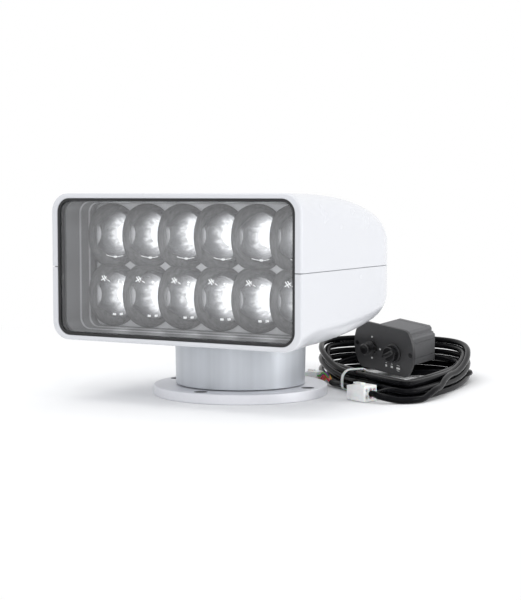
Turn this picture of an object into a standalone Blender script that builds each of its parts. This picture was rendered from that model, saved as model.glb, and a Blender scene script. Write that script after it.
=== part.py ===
# A remote-controlled marine searchlight: deck base, turning turret, tilting lamp head,
# dash control unit and the coiled harness that joins them. Metres, +Z up.
# The origin is the pan axis at the underside of the deck flange, and the lamp faces -Y.
import math

import bmesh
import bpy
from mathutils import Matrix, Vector

MM = 0.001
GAP = 0.3 * MM  # clearance between pieces that touch
BURY = 1.0 * MM  # how far a cutter or a joined form reaches past a face

# Deck base
FLANGE_RADIUS = 83.0 * MM
FLANGE_THICK = 9.4 * MM
FLANGE_ROUND = 1.2 * MM
DECK_HOLE_CIRCLE = 72.3 * MM
DECK_HOLE_RADIUS = 3.0 * MM
DECK_HOLE_SINK_RADIUS = 6.4 * MM
DECK_HOLE_SINK_DEPTH = 4.0 * MM
POST_RADIUS = 17.0 * MM
POST_BORE = 9.0 * MM
POST_TOP = 44.0 * MM
HUB_RADIUS = 26.0 * MM
HUB_TOP = 12.7 * MM
CABLE_HOLE_RADIUS = 6.0 * MM
CABLE_HOLE_OFFSET = 34.0 * MM
GROMMET_BORE = 3.6 * MM

# Turret
TURRET_FOOT_RADIUS = 61.6 * MM
TURRET_TOP_RADIUS = 62.3 * MM
TURRET_FOOT = 10.3 * MM
TURRET_TOP = 50.0 * MM
TURRET_WALL = 3.0 * MM
TURRET_ROUND = 2.0 * MM
SLEEVE_WALL = 3.7 * MM
SLEEVE_FOOT = 24.0 * MM
BUSH_WALL = 2.7 * MM
SEAL_WIDTH = 2.6 * MM
SEAL_HEIGHT = 5.0 * MM

# Pan drive
GEAR_MODULE = 1.0 * MM
PAN_GEAR_TEETH = 60
PAN_PINION_TEETH = 16
PAN_GEAR_WIDTH = 8.0 * MM
PAN_MOTOR_RADIUS = 13.0 * MM
PAN_MOTOR_LENGTH = 22.0 * MM
PINION_SHAFT = 2.0 * MM

# Tilt neck and drive
TILT_Z = 60.0 * MM
NECK_RADIUS = 20.0 * MM
NECK_HALF_WIDTH = 17.0 * MM
NECK_FOOT_LENGTH = 30.0 * MM
NECK_FOOT_THICK = 2.5 * MM
NECK_SCREW_Y = 25.6 * MM
NECK_SCREW_RADIUS = 1.5 * MM
NECK_SCREW_HEAD = 3.0 * MM
TILT_SHAFT_RADIUS = 4.0 * MM
TILT_BUSH_RADIUS = 6.2 * MM
TILT_BUSH_LENGTH = 9.0 * MM
TILT_BUSH_RIM = 8.0 * MM
TILT_BUSH_RIM_THICK = 1.5 * MM
LUG_THICK = 8.0 * MM
LUG_RADIUS = 6.6 * MM
SECTOR_TEETH = 68
SECTOR_HALF_ANGLE = 29.0
SECTOR_WIDTH = 8.0 * MM
TILT_PINION_TEETH = 12
TILT_MOTOR_RADIUS = 12.0 * MM
TILT_MOTOR_LENGTH = 34.0 * MM
BRACKET_THICK = 2.5 * MM

# Lamp head shells
HEAD_HALF_WIDTH = 130.0 * MM
HEAD_DEPTH = 213.5 * MM
HEAD_FRONT_SHARE = 0.574239  # how much of the depth lies in front of the pan axis
HEAD_TOP = 190.4 * MM
HEAD_BOTTOM = 56.2 * MM
PARTING_Z = 123.2 * MM
HEAD_PLAN_ROUND = 52.0 * MM
HEAD_FRONT_CORNER = 17.0 * MM
HEAD_REAR_CORNER = 24.0 * MM
HEAD_EDGE_ROUND = 2.0 * MM
SHELL_WALL = 2.6 * MM
RECESS_RADIUS = 66.0 * MM
RECESS_TOP = 64.2 * MM
SLOT_HALF_LENGTH = 21.4 * MM
CASE_POST_RADIUS = 5.5 * MM
CASE_POST_INSET = 18.0 * MM
CASE_POST_REAR_Y = 18.0 * MM
CASE_POST_RISE = 20.0 * MM
CASE_SCREW_HEAD = 3.2 * MM
CASE_SCREW_HEAD_HEIGHT = 3.0 * MM
CASE_SCREW_RADIUS = 1.9 * MM
CASE_SCREW_LENGTH = 28.0 * MM
CASE_SCREW_SEAT_DROP = 14.0 * MM

# Window, shroud and lamps
WINDOW_SIDE = 6.5 * MM
WINDOW_BOTTOM = 60.6 * MM
WINDOW_TOP = 186.0 * MM
WINDOW_CORNER = 13.0 * MM
WINDOW_DEPTH = 8.4 * MM
WINDOW_SEAL_WALL = 2.2 * MM
WINDOW_SEAL_FRONT = 0.6 * MM
GLASS_FRONT = 2.0 * MM
GLASS_THICK = 4.0 * MM
SHROUD_SIDE = 3.9 * MM
SHROUD_HALF_HEIGHT = 59.6 * MM
SHROUD_WALL = 1.8 * MM
SHROUD_STEP = 0.9 * MM
SHROUD_STEP_DEPTHS = (30.0 * MM, 43.0 * MM)
SHROUD_CORNER = 11.0 * MM
LENS_PLANE = 52.4 * MM
LENS_SIDE = 0.8 * MM
LENS_COLUMNS = 6
LENS_ROWS = 2
LENS_RIM_RADIUS = 28.8 * MM
LENS_HEIGHT = 19.0 * MM
LENS_BED = 1.2 * MM
TRAY_THICK = 1.2 * MM
CUP_DEPTH = 22.0 * MM
CUP_FLOOR_RADIUS = 12.6 * MM
CUP_FACETS = 12
BOARD_THICK = 1.6 * MM
BOARD_MARGIN = 4.2 * MM
SINK_SIDE = 8.5 * MM
SINK_BASE = 4.0 * MM
SINK_BEHIND = 5.0 * MM
SINK_FIN_THICK = 2.0 * MM
SINK_FINS = 9
SINK_BOTTOM = 72.0 * MM
SINK_TOP = 174.0 * MM
DRIVER_SIZE = (84.0 * MM, 1.6 * MM, 56.0 * MM)
DRIVER_PART_SIZE = (30.0 * MM, 12.0 * MM, 26.0 * MM)
DRIVER_Z = 142.0 * MM

# Control unit, in its own frame: X along the panel, Y into the box, Z up the panel
UNIT_PLACE = (66.0 * MM, 183.0 * MM)
UNIT_YAW = -42.0
UNIT_TILT = 9.4
VIEW_TURN = 24.1
PANEL_HALF_LENGTH = 41.7 * MM
PANEL_STRAIGHT_HALF = 32.2 * MM
PANEL_HEIGHT = 50.4 * MM
PANEL_THICK = 3.6 * MM
PANEL_CORNER = 3.0 * MM
UNIT_BOX_HALF_WIDTH = 24.6 * MM
UNIT_BOX_BOTTOM = 8.0 * MM
UNIT_BOX_TOP = 44.0 * MM
UNIT_BOX_DEPTH = 50.0 * MM
UNIT_BOX_WALL = 2.0 * MM
UNIT_STEP_WIDTH = 7.0 * MM
UNIT_STEP_DROP = 8.0 * MM
UNIT_GROOVE = 2.4 * MM
PANEL_SCREW_X = 37.2 * MM
PANEL_SCREW_HEAD = 2.6 * MM
PANEL_SCREW_RADIUS = 1.4 * MM
STICK_X = -15.8 * MM
STICK_Z = 24.0 * MM
STICK_PIVOT = 1.8 * MM
STICK_WELL = 6.6 * MM
GIMBAL_RADIUS = 5.9 * MM
GIMBAL_BORE = 3.8 * MM
GIMBAL_THICK = 2.4 * MM
STICK_HUB = 3.4 * MM
STICK_STEM = 2.4 * MM
STICK_SKIRT = 7.6 * MM
STICK_CAP = 6.2 * MM
STICK_LENGTH = 15.0 * MM
KNOB_X = 14.5 * MM
KNOB_Z = 23.5 * MM
KNOB_RADIUS = 9.0 * MM
KNOB_HEIGHT = 11.0 * MM
KNOB_FLUTES = 10
KNOB_SHAFT = 3.0 * MM
SOCKET_SIZE = (16.0 * MM, 8.0 * MM, 9.0 * MM)

# Harness
CABLE_DIAMETER = 6.0 * MM
COIL_CENTRE = (106.0 * MM, 129.4 * MM)
COIL_HALF_WIDTH = 69.0 * MM
COIL_HALF_LENGTH = 130.0 * MM
COIL_SKEW = -9.0 * MM
COIL_EGG = 0.58
COIL_COLUMNS = 3
COIL_LAYERS = 3
COIL_LAYER_PITCH = 6.42 * MM
COIL_STACK_ANGLE = 78.0
COIL_LIFT = 1.6 * MM
TIE_ANGLE = -158.0
TIE_WIDTH = 3.6 * MM
TIE_THICK = 1.1 * MM
PLUG_A_SIZE = (17.0 * MM, 13.0 * MM, 13.0 * MM)
PLUG_A_PLACE = (31.5 * MM, 90.5 * MM)
PLUG_A_TURN = -10.0
PLUG_B_SIZE = (25.0 * MM, 16.0 * MM, 15.0 * MM)
PLUG_B_PLACE = (123.7 * MM, 8.5 * MM)
PLUG_B_TURN = -22.0
WIRE_BUNDLE_DIAMETER = 4.6 * MM

# Worked out from the sizes above
HEAD_FRONT = -HEAD_FRONT_SHARE * HEAD_DEPTH
WINDOW_HALF_WIDTH = HEAD_HALF_WIDTH - WINDOW_SIDE
SHROUD_HALF_WIDTH = WINDOW_HALF_WIDTH - SHROUD_SIDE
LENS_PITCH = 2 * (SHROUD_HALF_WIDTH - 2 * SHROUD_STEP - LENS_SIDE) / LENS_COLUMNS
CUP_MOUTH_RADIUS = 0.485 * LENS_PITCH
BOARD_FRONT = LENS_PLANE + CUP_DEPTH + TRAY_THICK + GAP
SINK_FRONT = BOARD_FRONT + BOARD_THICK + GAP
SINK_FIN_DEPTH = -HEAD_FRONT - TILT_MOTOR_RADIUS - SINK_BEHIND - SINK_FRONT - SINK_BASE
CASE_POST_X = HEAD_HALF_WIDTH - CASE_POST_INSET
CASE_POST_FRONT_Y = HEAD_FRONT + SINK_FRONT + SINK_BASE + 2 * CASE_POST_RADIUS
SINK_HALF_WIDTH = CASE_POST_X - CASE_POST_RADIUS - SINK_SIDE
SLEEVE_BORE = POST_RADIUS + GAP + BUSH_WALL + GAP
SEAL_RADIUS = TURRET_FOOT_RADIUS - TURRET_WALL - GAP
PAN_GEAR_FOOT = HUB_TOP + GAP
PAN_CENTRES = GEAR_MODULE * (PAN_GEAR_TEETH + PAN_PINION_TEETH) / 2
SECTOR_RADIUS = GEAR_MODULE * SECTOR_TEETH / 2
TILT_CENTRES = GEAR_MODULE * (SECTOR_TEETH + TILT_PINION_TEETH) / 2
SLOT_HALF_WIDTH = NECK_HALF_WIDTH + GAP + TILT_BUSH_RIM_THICK + GAP
LUG_INNER = SLOT_HALF_WIDTH + GAP
HEAD_MIDDLE_Z = (WINDOW_TOP + WINDOW_BOTTOM) / 2
SHROUD_FRONT = WINDOW_DEPTH + GAP
ROW_PITCH = 2 * LENS_RIM_RADIUS
UNIT_BOX_FRONT = PANEL_THICK + GAP

MODEL = bpy.data.collections.new("marine_searchlight")
CUTTERS = bpy.data.collections.new("cutters")


def clear_scene():
    """Remove whatever the file opened with."""
    for thing in list(bpy.data.objects):
        bpy.data.objects.remove(thing)
    bpy.context.scene.collection.children.link(MODEL)
    bpy.context.scene.collection.children.link(CUTTERS)


def material(name, colour, roughness, metallic=0.0):
    """A plain Principled material."""
    made = bpy.data.materials.new(name)
    made.use_nodes = True
    shader = made.node_tree.nodes["Principled BSDF"]
    shader.inputs["Base Color"].default_value = (*colour, 1.0)
    shader.inputs["Roughness"].default_value = roughness
    shader.inputs["Metallic"].default_value = metallic
    return made


def add(name, data, finish=None, parent=None):
    """Put a mesh or a curve in the model under a name, with its material."""
    made = bpy.data.objects.new(name, data)
    MODEL.objects.link(made)
    if finish is not None:
        data.materials.append(finish)
    if parent is not None:
        made.parent = parent
    return made


def as_cutter(thing):
    """Keep an object only as the second operand of a Boolean."""
    MODEL.objects.unlink(thing)
    CUTTERS.objects.link(thing)
    thing.hide_render = True
    thing.display_type = "WIRE"
    return thing


def boolean(target, other, operation):
    """Join, cut or keep the overlap of two solids."""
    if other.name not in CUTTERS.objects:
        as_cutter(other)
    step = target.modifiers.new(operation.lower() + "_" + other.name, "BOOLEAN")
    step.operation = operation
    step.object = other
    step.solver = "EXACT"


def cut(target, other):
    boolean(target, other, "DIFFERENCE")


def join(target, other):
    boolean(target, other, "UNION")


def keep(target, other):
    boolean(target, other, "INTERSECT")


def smooth(mesh, angle=35.0):
    """Shade smooth, with sharp edges where the surface turns."""
    mesh.shade_smooth()
    mesh.set_sharp_from_angle(angle=math.radians(angle))


def from_bmesh(name, work, finish=None, parent=None):
    """Turn a bmesh into a model object with outward faces."""
    bmesh.ops.recalc_face_normals(work, faces=work.faces)
    mesh = bpy.data.meshes.new(name)
    work.to_mesh(mesh)
    work.free()
    smooth(mesh)
    return add(name, mesh, finish, parent)


def box(name, size, centre, finish=None, parent=None, bevel=0.0):
    """A rectangular block, with its edges rounded if a bevel is given."""
    work = bmesh.new()
    bmesh.ops.create_cube(work, size=1.0)
    bmesh.ops.scale(work, vec=size, verts=work.verts)
    bmesh.ops.translate(work, vec=centre, verts=work.verts)
    made = from_bmesh(name, work, finish, parent)
    if bevel:
        step = made.modifiers.new("rounded_edges", "BEVEL")
        step.width = bevel
        step.segments = 2
    return made


def cylinder(name, radius, start, end, finish=None, parent=None, segments=24, end_radius=None):
    """A cylinder or cone between two points."""
    start, end = Vector(start), Vector(end)
    along = end - start
    work = bmesh.new()
    bmesh.ops.create_cone(
        work,
        cap_ends=True,
        segments=segments,
        radius1=radius,
        radius2=radius if end_radius is None else end_radius,
        depth=along.length,
    )
    turn = Vector((0, 0, 1)).rotation_difference(along.normalized()).to_matrix().to_4x4()
    bmesh.ops.transform(work, matrix=Matrix.Translation((start + end) / 2) @ turn, verts=work.verts)
    return from_bmesh(name, work, finish, parent)


def turned(name, profile, finish=None, steps=48, parent=None):
    """A lathe form: a profile of (radius, height) points spun about Z.

    A profile that touches the axis at both ends is open there; any other is a closed loop.
    """
    area = 0.0
    for (x0, z0), (x1, z1) in zip(profile, profile[1:] + profile[:1]):
        area += x0 * z1 - x1 * z0
    if area > 0:
        profile = profile[::-1]
    on_axis = profile[0][0] == 0.0 and profile[-1][0] == 0.0
    mesh = bpy.data.meshes.new(name)
    edges = [(i, i + 1) for i in range(len(profile) - 1)]
    if not on_axis:
        edges.append((len(profile) - 1, 0))
    mesh.from_pydata([(r, 0.0, z) for r, z in profile], edges, [])
    made = add(name, mesh, finish, parent)
    spin = made.modifiers.new("turned", "SCREW")
    spin.steps = steps
    spin.render_steps = steps
    spin.use_merge_vertices = True
    spin.merge_threshold = 0.00001
    spin.use_smooth_shade = True
    return made


def countersink(name, radius, head_radius, deep, length, place, parent=None, steps=12):
    """A cutter for a screw hole with a conical seat, mouth at the origin of place, hole along -Z."""
    slope = (head_radius - radius) / deep
    made = turned(
        name,
        [
            (0.0, BURY),
            (head_radius + slope * BURY, BURY),
            (radius, -deep),
            (radius, -length),
            (0.0, -length),
        ],
        None,
        steps,
        parent,
    )
    made.matrix_local = place
    return made


def arc(centre, radius, start, end, points):
    """Points along a circular arc, angles in degrees."""
    made = []
    for i in range(points):
        angle = math.radians(start + (end - start) * i / (points - 1))
        made.append((centre[0] + radius * math.cos(angle), centre[1] + radius * math.sin(angle)))
    return made


def rounded_rectangle(half_width, low, high, radius, steps=5):
    """A rounded rectangle's outline in (x, z), anticlockwise from its lower right corner."""
    radius = min(radius, half_width * 0.999, (high - low) / 2 * 0.999)
    corners = (
        (half_width - radius, low + radius, -90.0),
        (half_width - radius, high - radius, 0.0),
        (-half_width + radius, high - radius, 90.0),
        (-half_width + radius, low + radius, 180.0),
    )
    outline = []
    for x, z, start in corners:
        outline += arc((x, z), radius, start, start + 90.0, steps + 1)
    return outline


def loft(name, rings, finish=None, parent=None, closed=False):
    """A skin over rings of equally many points; it closes on itself or is capped at its ends."""
    work = bmesh.new()
    rows = [[work.verts.new(point) for point in ring] for ring in rings]
    pairs = list(zip(rows, rows[1:]))
    if closed:
        pairs.append((rows[-1], rows[0]))
    else:
        work.faces.new(rows[0])
        work.faces.new(rows[-1])
    for near, far in pairs:
        count = len(near)
        for i in range(count):
            j = (i + 1) % count
            work.faces.new((near[i], near[j], far[j], far[i]))
    return from_bmesh(name, work, finish, parent)


def flat_piece(name, outlines, thick, place, finish=None, parent=None):
    """A flat piece: closed outlines filled and extruded, then put in place by a matrix."""
    curve = bpy.data.curves.new(name, "CURVE")
    curve.dimensions = "2D"
    curve.fill_mode = "BOTH"
    curve.extrude = thick / 2
    for outline in outlines:
        spline = curve.splines.new("POLY")
        spline.points.add(len(outline) - 1)
        for point, (x, y) in zip(spline.points, outline):
            point.co = (x, y, 0.0, 1.0)
        spline.use_cyclic_u = True
    made = add(name, curve, finish, parent)
    made.matrix_local = place
    return made


def as_mesh(thing):
    """Replace a curve, or an object with modifiers, by a plain welded mesh of the same name."""
    bpy.context.view_layer.update()
    mesh = bpy.data.meshes.new_from_object(thing.evaluated_get(bpy.context.evaluated_depsgraph_get()))
    work = bmesh.new()
    work.from_mesh(mesh)
    bmesh.ops.remove_doubles(work, verts=work.verts, dist=0.00001)
    work.to_mesh(mesh)
    work.free()
    smooth(mesh)
    name, parent, place = thing.name, thing.parent, thing.matrix_world.copy()
    bpy.data.objects.remove(thing)
    made = bpy.data.objects.new(name, mesh)
    MODEL.objects.link(made)
    made.parent = parent
    made.matrix_world = place
    return made


def tube(name, points, diameter, finish, resolution=2):
    """A round cable through points."""
    curve = bpy.data.curves.new(name, "CURVE")
    curve.dimensions = "3D"
    curve.bevel_depth = diameter / 2
    curve.bevel_resolution = resolution
    curve.use_fill_caps = True
    spline = curve.splines.new("POLY")
    spline.points.add(len(points) - 1)
    for point, place in zip(spline.points, points):
        point.co = (*place, 1.0)
    return add(name, curve, finish)


def smooth_path(route, spacing):
    """Evenly spaced points on a smooth curve through the route's own points."""
    ends = [2 * route[0] - route[1]] + route + [2 * route[-1] - route[-2]]
    fine = []
    for a, b, c, d in zip(ends, ends[1:], ends[2:], ends[3:]):
        for i in range(24):
            t = i / 24
            fine.append(
                0.5 * (2 * b + (c - a) * t + (2 * a - 5 * b + 4 * c - d) * t**2 + (3 * b - a - 3 * c + d) * t**3)
            )
    fine.append(route[-1])
    length = sum((q - p).length for p, q in zip(fine, fine[1:]))
    count = max(3, round(length / spacing))
    points, walked, target = [fine[0]], 0.0, length / count
    for p, q in zip(fine, fine[1:]):
        step = (q - p).length
        while step > 0 and walked + step >= target * len(points) and len(points) < count:
            points.append(p.lerp(q, (target * len(points) - walked) / step))
        walked += step
    points.append(fine[-1])
    return points


def gear_outline(teeth, first, count=None):
    """A spur gear's outline, or a stretch of count teeth, from the tooth at angle first."""
    pitch_radius = GEAR_MODULE * teeth / 2
    pitch = 360.0 / teeth
    rows = (
        (pitch_radius - 1.25 * GEAR_MODULE, -0.32),
        (pitch_radius + 0.85 * GEAR_MODULE, -0.10),
        (pitch_radius + 0.85 * GEAR_MODULE, 0.10),
        (pitch_radius - 1.25 * GEAR_MODULE, 0.32),
    )
    outline = []
    for tooth in range(teeth if count is None else count):
        for radius, share in rows:
            angle = math.radians(first + (tooth + share) * pitch)
            outline.append((radius * math.cos(angle), radius * math.sin(angle)))
    return outline


def circle(radius, points=24, centre=(0.0, 0.0)):
    return arc(centre, radius, 0.0, 360.0 - 360.0 / points, points)


def make_materials():
    return {
        "white_shell": material("white_shell", (0.84, 0.85, 0.88), 0.28),
        "silver_paint": material("silver_paint", (0.56, 0.58, 0.61), 0.42, 0.25),
        "flange_paint": material("flange_paint", (0.68, 0.70, 0.74), 0.42, 0.2),
        "black_rubber": material("black_rubber", (0.012, 0.012, 0.013), 0.6),
        "glass": material("glass", (0.92, 0.95, 0.96), 0.03),
        "shroud_grey": material("shroud_grey", (0.16, 0.16, 0.165), 0.4, 0.3),
        "tray_grey": material("tray_grey", (0.45, 0.46, 0.47), 0.35, 0.4),
        "lens": material("lens", (0.35, 0.36, 0.37), 0.08),
        "board": material("board", (0.03, 0.12, 0.06), 0.5),
        "aluminium": material("aluminium", (0.72, 0.73, 0.74), 0.35, 1.0),
        "steel": material("steel", (0.62, 0.62, 0.61), 0.3, 1.0),
        "bronze": material("bronze", (0.55, 0.38, 0.18), 0.4, 1.0),
        "gear_nylon": material("gear_nylon", (0.78, 0.76, 0.70), 0.5),
        "panel_black": material("panel_black", (0.045, 0.045, 0.048), 0.5),
        "box_grey": material("box_grey", (0.10, 0.10, 0.105), 0.45),
        "knob_black": material("knob_black", (0.006, 0.006, 0.007), 0.35),
        "cable_black": material("cable_black", (0.012, 0.012, 0.013), 0.3),
        "nylon_white": material("nylon_white", (0.80, 0.80, 0.78), 0.35),
        "wire_red": material("wire_red", (0.70, 0.06, 0.07), 0.35),
    }


def build_base(finish):
    """The deck flange with its post, and what sits on it and stays still."""
    edge = FLANGE_ROUND
    profile = [(0.0, FLANGE_THICK), (POST_BORE, FLANGE_THICK), (POST_BORE, POST_TOP), (POST_RADIUS, POST_TOP)]
    profile += [(POST_RADIUS, HUB_TOP), (HUB_RADIUS, HUB_TOP), (HUB_RADIUS, FLANGE_THICK)]
    profile += [(FLANGE_RADIUS - edge, FLANGE_THICK), (FLANGE_RADIUS, FLANGE_THICK - edge)]
    profile += [(FLANGE_RADIUS, edge / 2), (FLANGE_RADIUS - edge / 2, 0.0), (0.0, 0.0)]
    flange = turned("base_flange", profile, finish["flange_paint"], 40)
    for quarter in range(4):
        angle = math.radians(90.0 * quarter)
        x, y = DECK_HOLE_CIRCLE * math.cos(angle), DECK_HOLE_CIRCLE * math.sin(angle)
        hole = countersink(
            f"deck_hole_{quarter + 1}",
            DECK_HOLE_RADIUS,
            DECK_HOLE_SINK_RADIUS,
            DECK_HOLE_SINK_DEPTH,
            FLANGE_THICK + BURY,
            Matrix.Translation((x, y, FLANGE_THICK)),
        )
        cut(flange, hole)
    exit_hole = cylinder(
        "cable_exit",
        CABLE_HOLE_RADIUS,
        (0, CABLE_HOLE_OFFSET, -BURY),
        (0, CABLE_HOLE_OFFSET, FLANGE_THICK + BURY),
        segments=20,
    )
    cut(flange, exit_hole)

    rim = CABLE_HOLE_RADIUS - GAP
    grommet = turned(
        "cable_grommet",
        [
            (GROMMET_BORE, FLANGE_THICK + 2 * GAP + 1.5 * MM),
            (rim + 1.8 * MM, FLANGE_THICK + 2 * GAP + 1.5 * MM),
            (rim + 1.8 * MM, FLANGE_THICK + GAP),
            (rim, FLANGE_THICK + GAP),
            (rim, GAP),
            (GROMMET_BORE, GAP),
        ],
        finish["black_rubber"],
        12,
    )
    grommet.location = (0, CABLE_HOLE_OFFSET, 0)

    inner = POST_RADIUS + GAP
    gear_place = Matrix.Translation((0, 0, PAN_GEAR_FOOT + PAN_GEAR_WIDTH / 2))
    flat_piece(
        "pan_gear",
        [gear_outline(PAN_GEAR_TEETH, 0.0), circle(inner, 24)],
        PAN_GEAR_WIDTH,
        gear_place,
        finish["gear_nylon"],
    )
    turned(
        "pan_bush",
        [
            (inner, POST_TOP - GAP),
            (inner + BUSH_WALL, POST_TOP - GAP),
            (inner + BUSH_WALL, PAN_GEAR_FOOT + PAN_GEAR_WIDTH + GAP),
            (inner, PAN_GEAR_FOOT + PAN_GEAR_WIDTH + GAP),
        ],
        finish["bronze"],
        24,
    )
    turned(
        "pan_retainer",
        [
            (POST_BORE, TURRET_TOP - TURRET_WALL - GAP),
            (SLEEVE_BORE - GAP, TURRET_TOP - TURRET_WALL - GAP),
            (SLEEVE_BORE - GAP, POST_TOP + GAP),
            (POST_BORE, POST_TOP + GAP),
        ],
        finish["steel"],
        24,
    )
    turned(
        "pan_seal",
        [
            (SEAL_RADIUS - SEAL_WIDTH, FLANGE_THICK + GAP + SEAL_HEIGHT),
            (SEAL_RADIUS, FLANGE_THICK + GAP + SEAL_HEIGHT),
            (SEAL_RADIUS, FLANGE_THICK + GAP),
            (SEAL_RADIUS - SEAL_WIDTH, FLANGE_THICK + GAP),
        ],
        finish["black_rubber"],
        24,
    )


def build_turret(finish):
    """The turning housing, its tilt neck and the pan motor."""
    roof = TURRET_TOP - TURRET_WALL
    inside = TURRET_FOOT_RADIUS - TURRET_WALL
    sleeve = SLEEVE_BORE + SLEEVE_WALL
    corner = arc((TURRET_TOP_RADIUS - TURRET_ROUND, TURRET_TOP - TURRET_ROUND), TURRET_ROUND, 90.0, 0.0, 3)
    profile = [(0.0, TURRET_TOP)] + corner + [(TURRET_FOOT_RADIUS, TURRET_FOOT), (inside, TURRET_FOOT)]
    profile += [(inside, roof), (sleeve, roof), (sleeve, SLEEVE_FOOT), (SLEEVE_BORE, SLEEVE_FOOT)]
    profile += [(SLEEVE_BORE, roof), (0.0, roof)]
    housing = turned("turret_housing", profile, finish["silver_paint"], 40)

    wire_x = wire_y = NECK_RADIUS / 2
    wire_way = cylinder(
        "wire_way", 3.4 * MM, (wire_x, wire_y - NECK_RADIUS, roof - BURY), (wire_x, wire_y - NECK_RADIUS, TILT_Z * 2)
    )
    cut(housing, wire_way)

    foot = TURRET_TOP + GAP
    drop = foot - TILT_Z
    outline = arc((0.0, 0.0), NECK_RADIUS, 0.0, 180.0, 17)
    outline += [(-NECK_RADIUS, drop + NECK_FOOT_THICK), (-NECK_FOOT_LENGTH, drop + NECK_FOOT_THICK)]
    outline += [(-NECK_FOOT_LENGTH, drop), (NECK_FOOT_LENGTH, drop)]
    outline += [(NECK_FOOT_LENGTH, drop + NECK_FOOT_THICK), (NECK_RADIUS, drop + NECK_FOOT_THICK)]
    # The outline's x runs along +Y and its y up +Z, so its thickness lies along X
    upright = Matrix(((0, 0, 1, 0), (1, 0, 0, 0), (0, 1, 0, 0), (0, 0, 0, 1)))
    place = Matrix.Translation((0, 0, TILT_Z)) @ upright
    neck = as_mesh(flat_piece("tilt_neck", [outline], 2 * NECK_HALF_WIDTH, place, finish["silver_paint"]))
    reach = NECK_HALF_WIDTH + BURY
    cut(neck, cylinder("neck_bore", TILT_BUSH_RADIUS + GAP, (-reach, 0, TILT_Z), (reach, 0, TILT_Z)))
    cut(neck, wire_way)

    for number, side in ((1, -1), (2, 1)):
        y = side * NECK_SCREW_Y
        top = foot + NECK_FOOT_THICK
        deep = NECK_SCREW_HEAD - NECK_SCREW_RADIUS
        hole = countersink(
            f"neck_hole_{number}",
            NECK_SCREW_RADIUS + GAP,
            NECK_SCREW_HEAD + GAP,
            deep,
            NECK_FOOT_THICK + GAP + TURRET_WALL + BURY,
            Matrix.Translation((0, y, top)),
        )
        cut(neck, hole)
        cut(housing, hole)
        turned(
            f"neck_screw_{number}",
            [
                (0.0, top),
                (NECK_SCREW_HEAD, top),
                (NECK_SCREW_RADIUS, top - deep),
                (NECK_SCREW_RADIUS, roof - 2.0 * MM),
                (0.0, roof - 2.0 * MM),
            ],
            finish["steel"],
            12,
        ).location = (0, y, 0)

    for side, word in ((-1, "left"), (1, "right")):
        bush = turned(
            f"tilt_bush_{word}",
            [
                (TILT_SHAFT_RADIUS + GAP, TILT_BUSH_RIM_THICK),
                (TILT_BUSH_RIM, TILT_BUSH_RIM_THICK),
                (TILT_BUSH_RIM, 0.0),
                (TILT_BUSH_RADIUS, 0.0),
                (TILT_BUSH_RADIUS, -TILT_BUSH_LENGTH),
                (TILT_SHAFT_RADIUS + GAP, -TILT_BUSH_LENGTH),
            ],
            finish["bronze"],
            16,
        )
        bush.location = (side * (NECK_HALF_WIDTH + GAP), 0, TILT_Z)
        bush.rotation_euler = (0, side * math.radians(90.0), 0)

    count = 2 * int(SECTOR_HALF_ANGLE / (360.0 / SECTOR_TEETH)) + 1
    pitch = 360.0 / SECTOR_TEETH
    half = count // 2
    teeth = gear_outline(SECTOR_TEETH, 90.0 - half * pitch, count)
    seat = arc((0.0, 0.0), NECK_RADIUS + GAP, 90.0 + SECTOR_HALF_ANGLE, 90.0 - SECTOR_HALF_ANGLE, 9)
    flat_piece("tilt_sector", [teeth + seat], SECTOR_WIDTH, place, finish["gear_nylon"])

    motor_top = roof - GAP
    motor = cylinder(
        "pan_motor",
        PAN_MOTOR_RADIUS,
        (PAN_CENTRES, 0, motor_top - PAN_MOTOR_LENGTH),
        (PAN_CENTRES, 0, motor_top),
        finish["steel"],
        segments=28,
    )
    shaft_hole = cylinder(
        "motor_shaft_hole",
        PINION_SHAFT + GAP,
        (PAN_CENTRES, 0, motor_top - PAN_MOTOR_LENGTH - BURY),
        (PAN_CENTRES, 0, motor_top - PAN_MOTOR_LENGTH / 2),
        segments=16,
    )
    cut(motor, shaft_hole)


def pinion(name, teeth, first, width, shaft_length, finish):
    """A small gear with its shaft in one piece, along local Z, gear centred on the origin."""
    gear = as_mesh(flat_piece(name, [gear_outline(teeth, first)], width, Matrix.Identity(4), finish))
    shaft = cylinder(
        name + "_shaft", PINION_SHAFT, (0, 0, 0), (0, 0, width / 2 + shaft_length), segments=16
    )
    join(gear, shaft)
    return as_mesh(gear)


def build_pinions(finish):
    """The two motor pinions, each at its axis and in mesh at rest."""
    half_pitch = 180.0 / PAN_PINION_TEETH
    motor_foot = TURRET_TOP - TURRET_WALL - GAP - PAN_MOTOR_LENGTH
    middle = PAN_GEAR_FOOT + PAN_GEAR_WIDTH / 2
    reach = motor_foot - (middle + PAN_GEAR_WIDTH / 2) + PAN_MOTOR_LENGTH / 2 - 2 * MM
    made = pinion("pan_pinion", PAN_PINION_TEETH, half_pitch, PAN_GEAR_WIDTH, reach, finish["gear_nylon"])
    made.location = (PAN_CENTRES, 0, middle)

    # The tilt pinion's gap faces down to the sector's middle tooth
    first = -90.0 + 180.0 / TILT_PINION_TEETH
    reach = BRACKET_THICK + 2 * GAP + TILT_MOTOR_LENGTH / 2
    made = pinion("tilt_pinion", TILT_PINION_TEETH, first, SECTOR_WIDTH, reach, finish["gear_nylon"])
    upright = Matrix(((0, 0, 1, 0), (1, 0, 0, 0), (0, 1, 0, 0), (0, 0, 0, 1)))
    made.matrix_world = Matrix.Translation((0, 0, TILT_Z + TILT_CENTRES)) @ upright


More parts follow.
